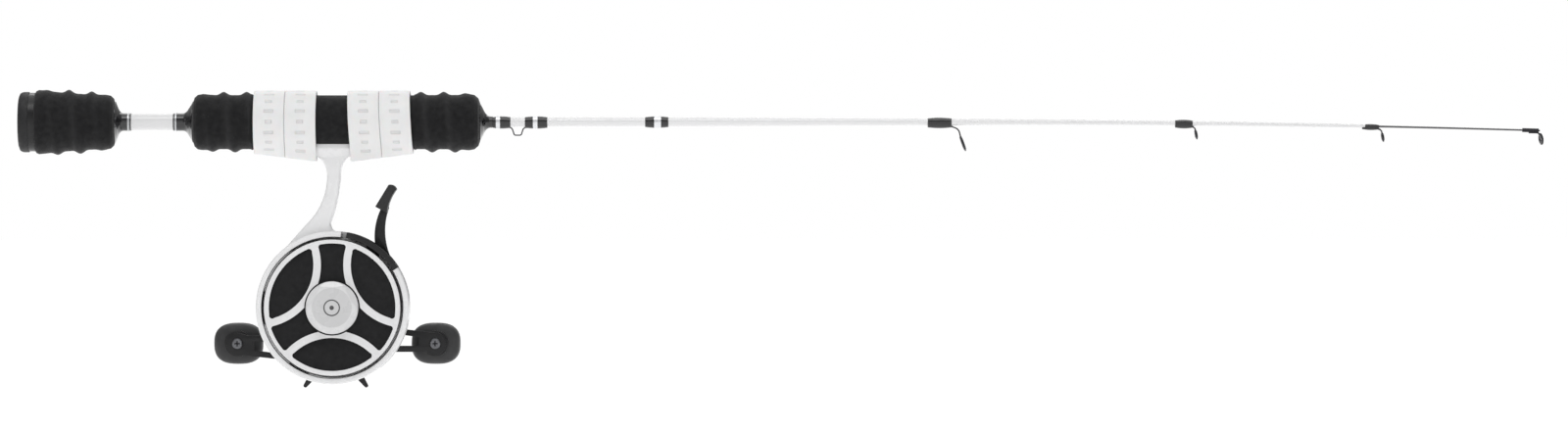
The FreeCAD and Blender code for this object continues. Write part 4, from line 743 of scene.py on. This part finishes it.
def studio_sky():
    """A white backdrop all round that gives only a soft, dimmer light, brighter from above."""
    world = bpy.data.worlds.new("studio")
    world.use_nodes = True
    tree = world.node_tree
    backdrop = tree.nodes["Background"]
    backdrop.inputs["Color"].default_value = (1, 1, 1, 1)
    backdrop.inputs["Strength"].default_value = 1.0
    glow = tree.nodes.new("ShaderNodeBackground")
    glow.inputs["Color"].default_value = (1, 1, 1, 1)
    way = tree.nodes.new("ShaderNodeTexCoord")
    parts = tree.nodes.new("ShaderNodeSeparateXYZ")
    fall = tree.nodes.new("ShaderNodeMapRange")
    fall.interpolation_type = "SMOOTHSTEP"
    for socket, value in (("From Min", -0.5), ("From Max", 0.9), ("To Min", 0.1), ("To Max", 0.46)):
        fall.inputs[socket].default_value = value
    shown = tree.nodes.new("ShaderNodeLightPath")
    mix = tree.nodes.new("ShaderNodeMixShader")
    tree.links.new(way.outputs["Generated"], parts.inputs["Vector"])
    tree.links.new(parts.outputs["Z"], fall.inputs["Value"])
    tree.links.new(fall.outputs["Result"], glow.inputs["Strength"])
    tree.links.new(shown.outputs["Is Camera Ray"], mix.inputs[0])
    tree.links.new(glow.outputs["Background"], mix.inputs[1])
    tree.links.new(backdrop.outputs["Background"], mix.inputs[2])
    tree.links.new(mix.outputs["Shader"], tree.nodes["World Output"].inputs["Surface"])
    bpy.context.scene.world = world


def stage():
    mesh = bpy.data.meshes.new("studio_floor")
    bm = bmesh.new()
    floor_height = -0.165
    bmesh.ops.create_grid(bm, x_segments=8, y_segments=8, size=40.0,
                          matrix=Matrix.Translation((0, 0, floor_height)))
    bm.to_mesh(mesh)
    bm.free()
    floor = bpy.data.objects.new("studio_floor", mesh)
    bpy.context.scene.collection.objects.link(floor)
    mesh.materials.append(studio_floor())

    studio_sky()
    for name, spot, power, size in (
        ("key_softbox", (0.05, -0.7, 1.35), 8.5, (1.7, 0.6)),
        ("front_softbox", (0.25, -1.9, 0.3), 4.6, (2.2, 0.9)),
        ("back_strip", (0.2, 1.1, 0.9), 5.0, (1.6, 0.3)),
        ("edge_strip", (-1.2, -0.3, 0.1), 1.0, (0.25, 0.9)),
    ):
        lamp = bpy.data.lights.new(name, "AREA")
        lamp.shape = "RECTANGLE"
        lamp.size, lamp.size_y = size
        lamp.energy = power
        holder = bpy.data.objects.new(name, lamp)
        holder.location = spot
        aim = Vector((0.1, 0, -0.05)) - Vector(spot)
        holder.rotation_euler = aim.to_track_quat("-Z", "Y").to_euler()
        bpy.context.scene.collection.objects.link(holder)
    overhead = bpy.data.lights.new("overhead", "SUN")
    overhead.energy = 0.9
    overhead.angle = math.radians(70)
    holder = bpy.data.objects.new("overhead", overhead)
    bpy.context.scene.collection.objects.link(holder)

    lens = bpy.data.cameras.new("camera")
    lens.lens = 200
    lens.sensor_width = 36
    lens.clip_end = 200
    camera = bpy.data.objects.new("camera", lens)
    camera.location = (0.2105, -4.067, -0.0436)
    camera.rotation_euler = (math.pi / 2, 0, 0)
    bpy.context.scene.collection.objects.link(camera)
    bpy.context.scene.camera = camera
    bpy.context.scene.view_settings.view_transform = "Standard"


# ---------------------------------------------------------------- the whole rod

def rod_and_handle():
    foam = eva_foam()
    butt_cap(butt_foam())
    rear_grip(foam)
    front_grip(foam)
    reel_bands(silicone())
    winding_checks(polished_black())
    paint("butt_trim_ring", satin_black("ring_black", 0.009, 0.3))
    paint("handle_tube", tube_white())
    paint("rod_blank", blank_white())
    paint("tip_section", tip_glass())
    thread = bound_thread("black_thread", (0.008, 0.008, 0.009))
    for node in ("keeper_wraps", "hosel_wrap", "guide_wraps"):
        paint(node, thread)
    paint("silver_trim_threads", bound_thread("silver_thread", (0.72, 0.73, 0.75), 0.9))
    wire = blued_wire()
    for node in ("stripper_guide", "second_guide", "third_guide", "tip_top_frame", "hook_keeper"):
        paint(node, wire)
    ceramic = ring_ceramic()
    for node in ("guide_rings", "tip_top_ring"):
        paint(node, ceramic)


def reel():
    white = reel_white()
    softened("reel_frame", reel_white("frame_white", painted_shade_rings=[RIM_GAP]), 0.35, 3)
    softened("gear_cover", white, 0.3)
    # The spool face takes the reel white a little darker, 0.66 against 0.70: painted shade over the face.
    softened("spool_face", reel_white("face_white", 0.66, 0.4, [RIM_GAP, CAP_GAP]), 0.32, 3)
    spool_cap(cap_white())
    softened("face_pads", face_black(), 0.12)
    black = satin_black()
    for node, edge in (("trigger_slide", 0.35), ("trigger_lever", 0.45), ("star_drag", 0.4)):
        softened(node, black, edge, 3)
    softened("trigger_pad", soft_touch("pad_black", 0.02), 0.6, 3)
    softened("handle_arm", anodised(), 0.35, 3)
    knob_coat = soft_touch()
    for node in ("knob_rear", "knob_front"):
        crank_knob(node, knob_coat)
    paint("trigger_cam", black)
    bush = satin_black("bush_black", 0.01, 0.35)
    for node in ("knob_bush_rear", "knob_bush_front"):
        paint(node, bush)


def metalwork():
    paint("spool", anodised("spool_black", 0.014, 0.4))
    crank_steel = machined("crank_steel", (0.52, 0.53, 0.55), CRANK_AXIS)
    for node in ("drive_shaft", "drag_pressure_plate", "bearing_sleeve", "one_way_bearing",
                 "drag_spring_washer", "handle_nut", "handle_spacer"):
        paint(node, crank_steel)
    spool_steel = machined("spool_steel", (0.52, 0.53, 0.55), SPOOL_AXIS)
    for node in ("spool_spindle", "spool_bearing_front", "spool_bearing_rear", "clutch_yoke"):
        paint(node, spool_steel)
    clutch_coil(spool_steel)
    paint("drive_gear", machined("gear_brass", (0.62, 0.45, 0.2), CRANK_AXIS))
    paint("pinion_gear", machined("pinion_brass", (0.62, 0.45, 0.2), SPOOL_AXIS))
    paint("cover_screws", machined("cover_screw_steel", (0.45, 0.46, 0.48), middle_of("cover_screws")))
    for side in ("rear", "front"):
        node = "knob_screw_" + side
        paint(node, machined(node + "_steel", (0.13, 0.132, 0.14), middle_of(node), 0.34, 0.3, 2.4))
    paint("drag_washers", pressed_fibre())


rod_and_handle()
reel()
metalwork()
stage()
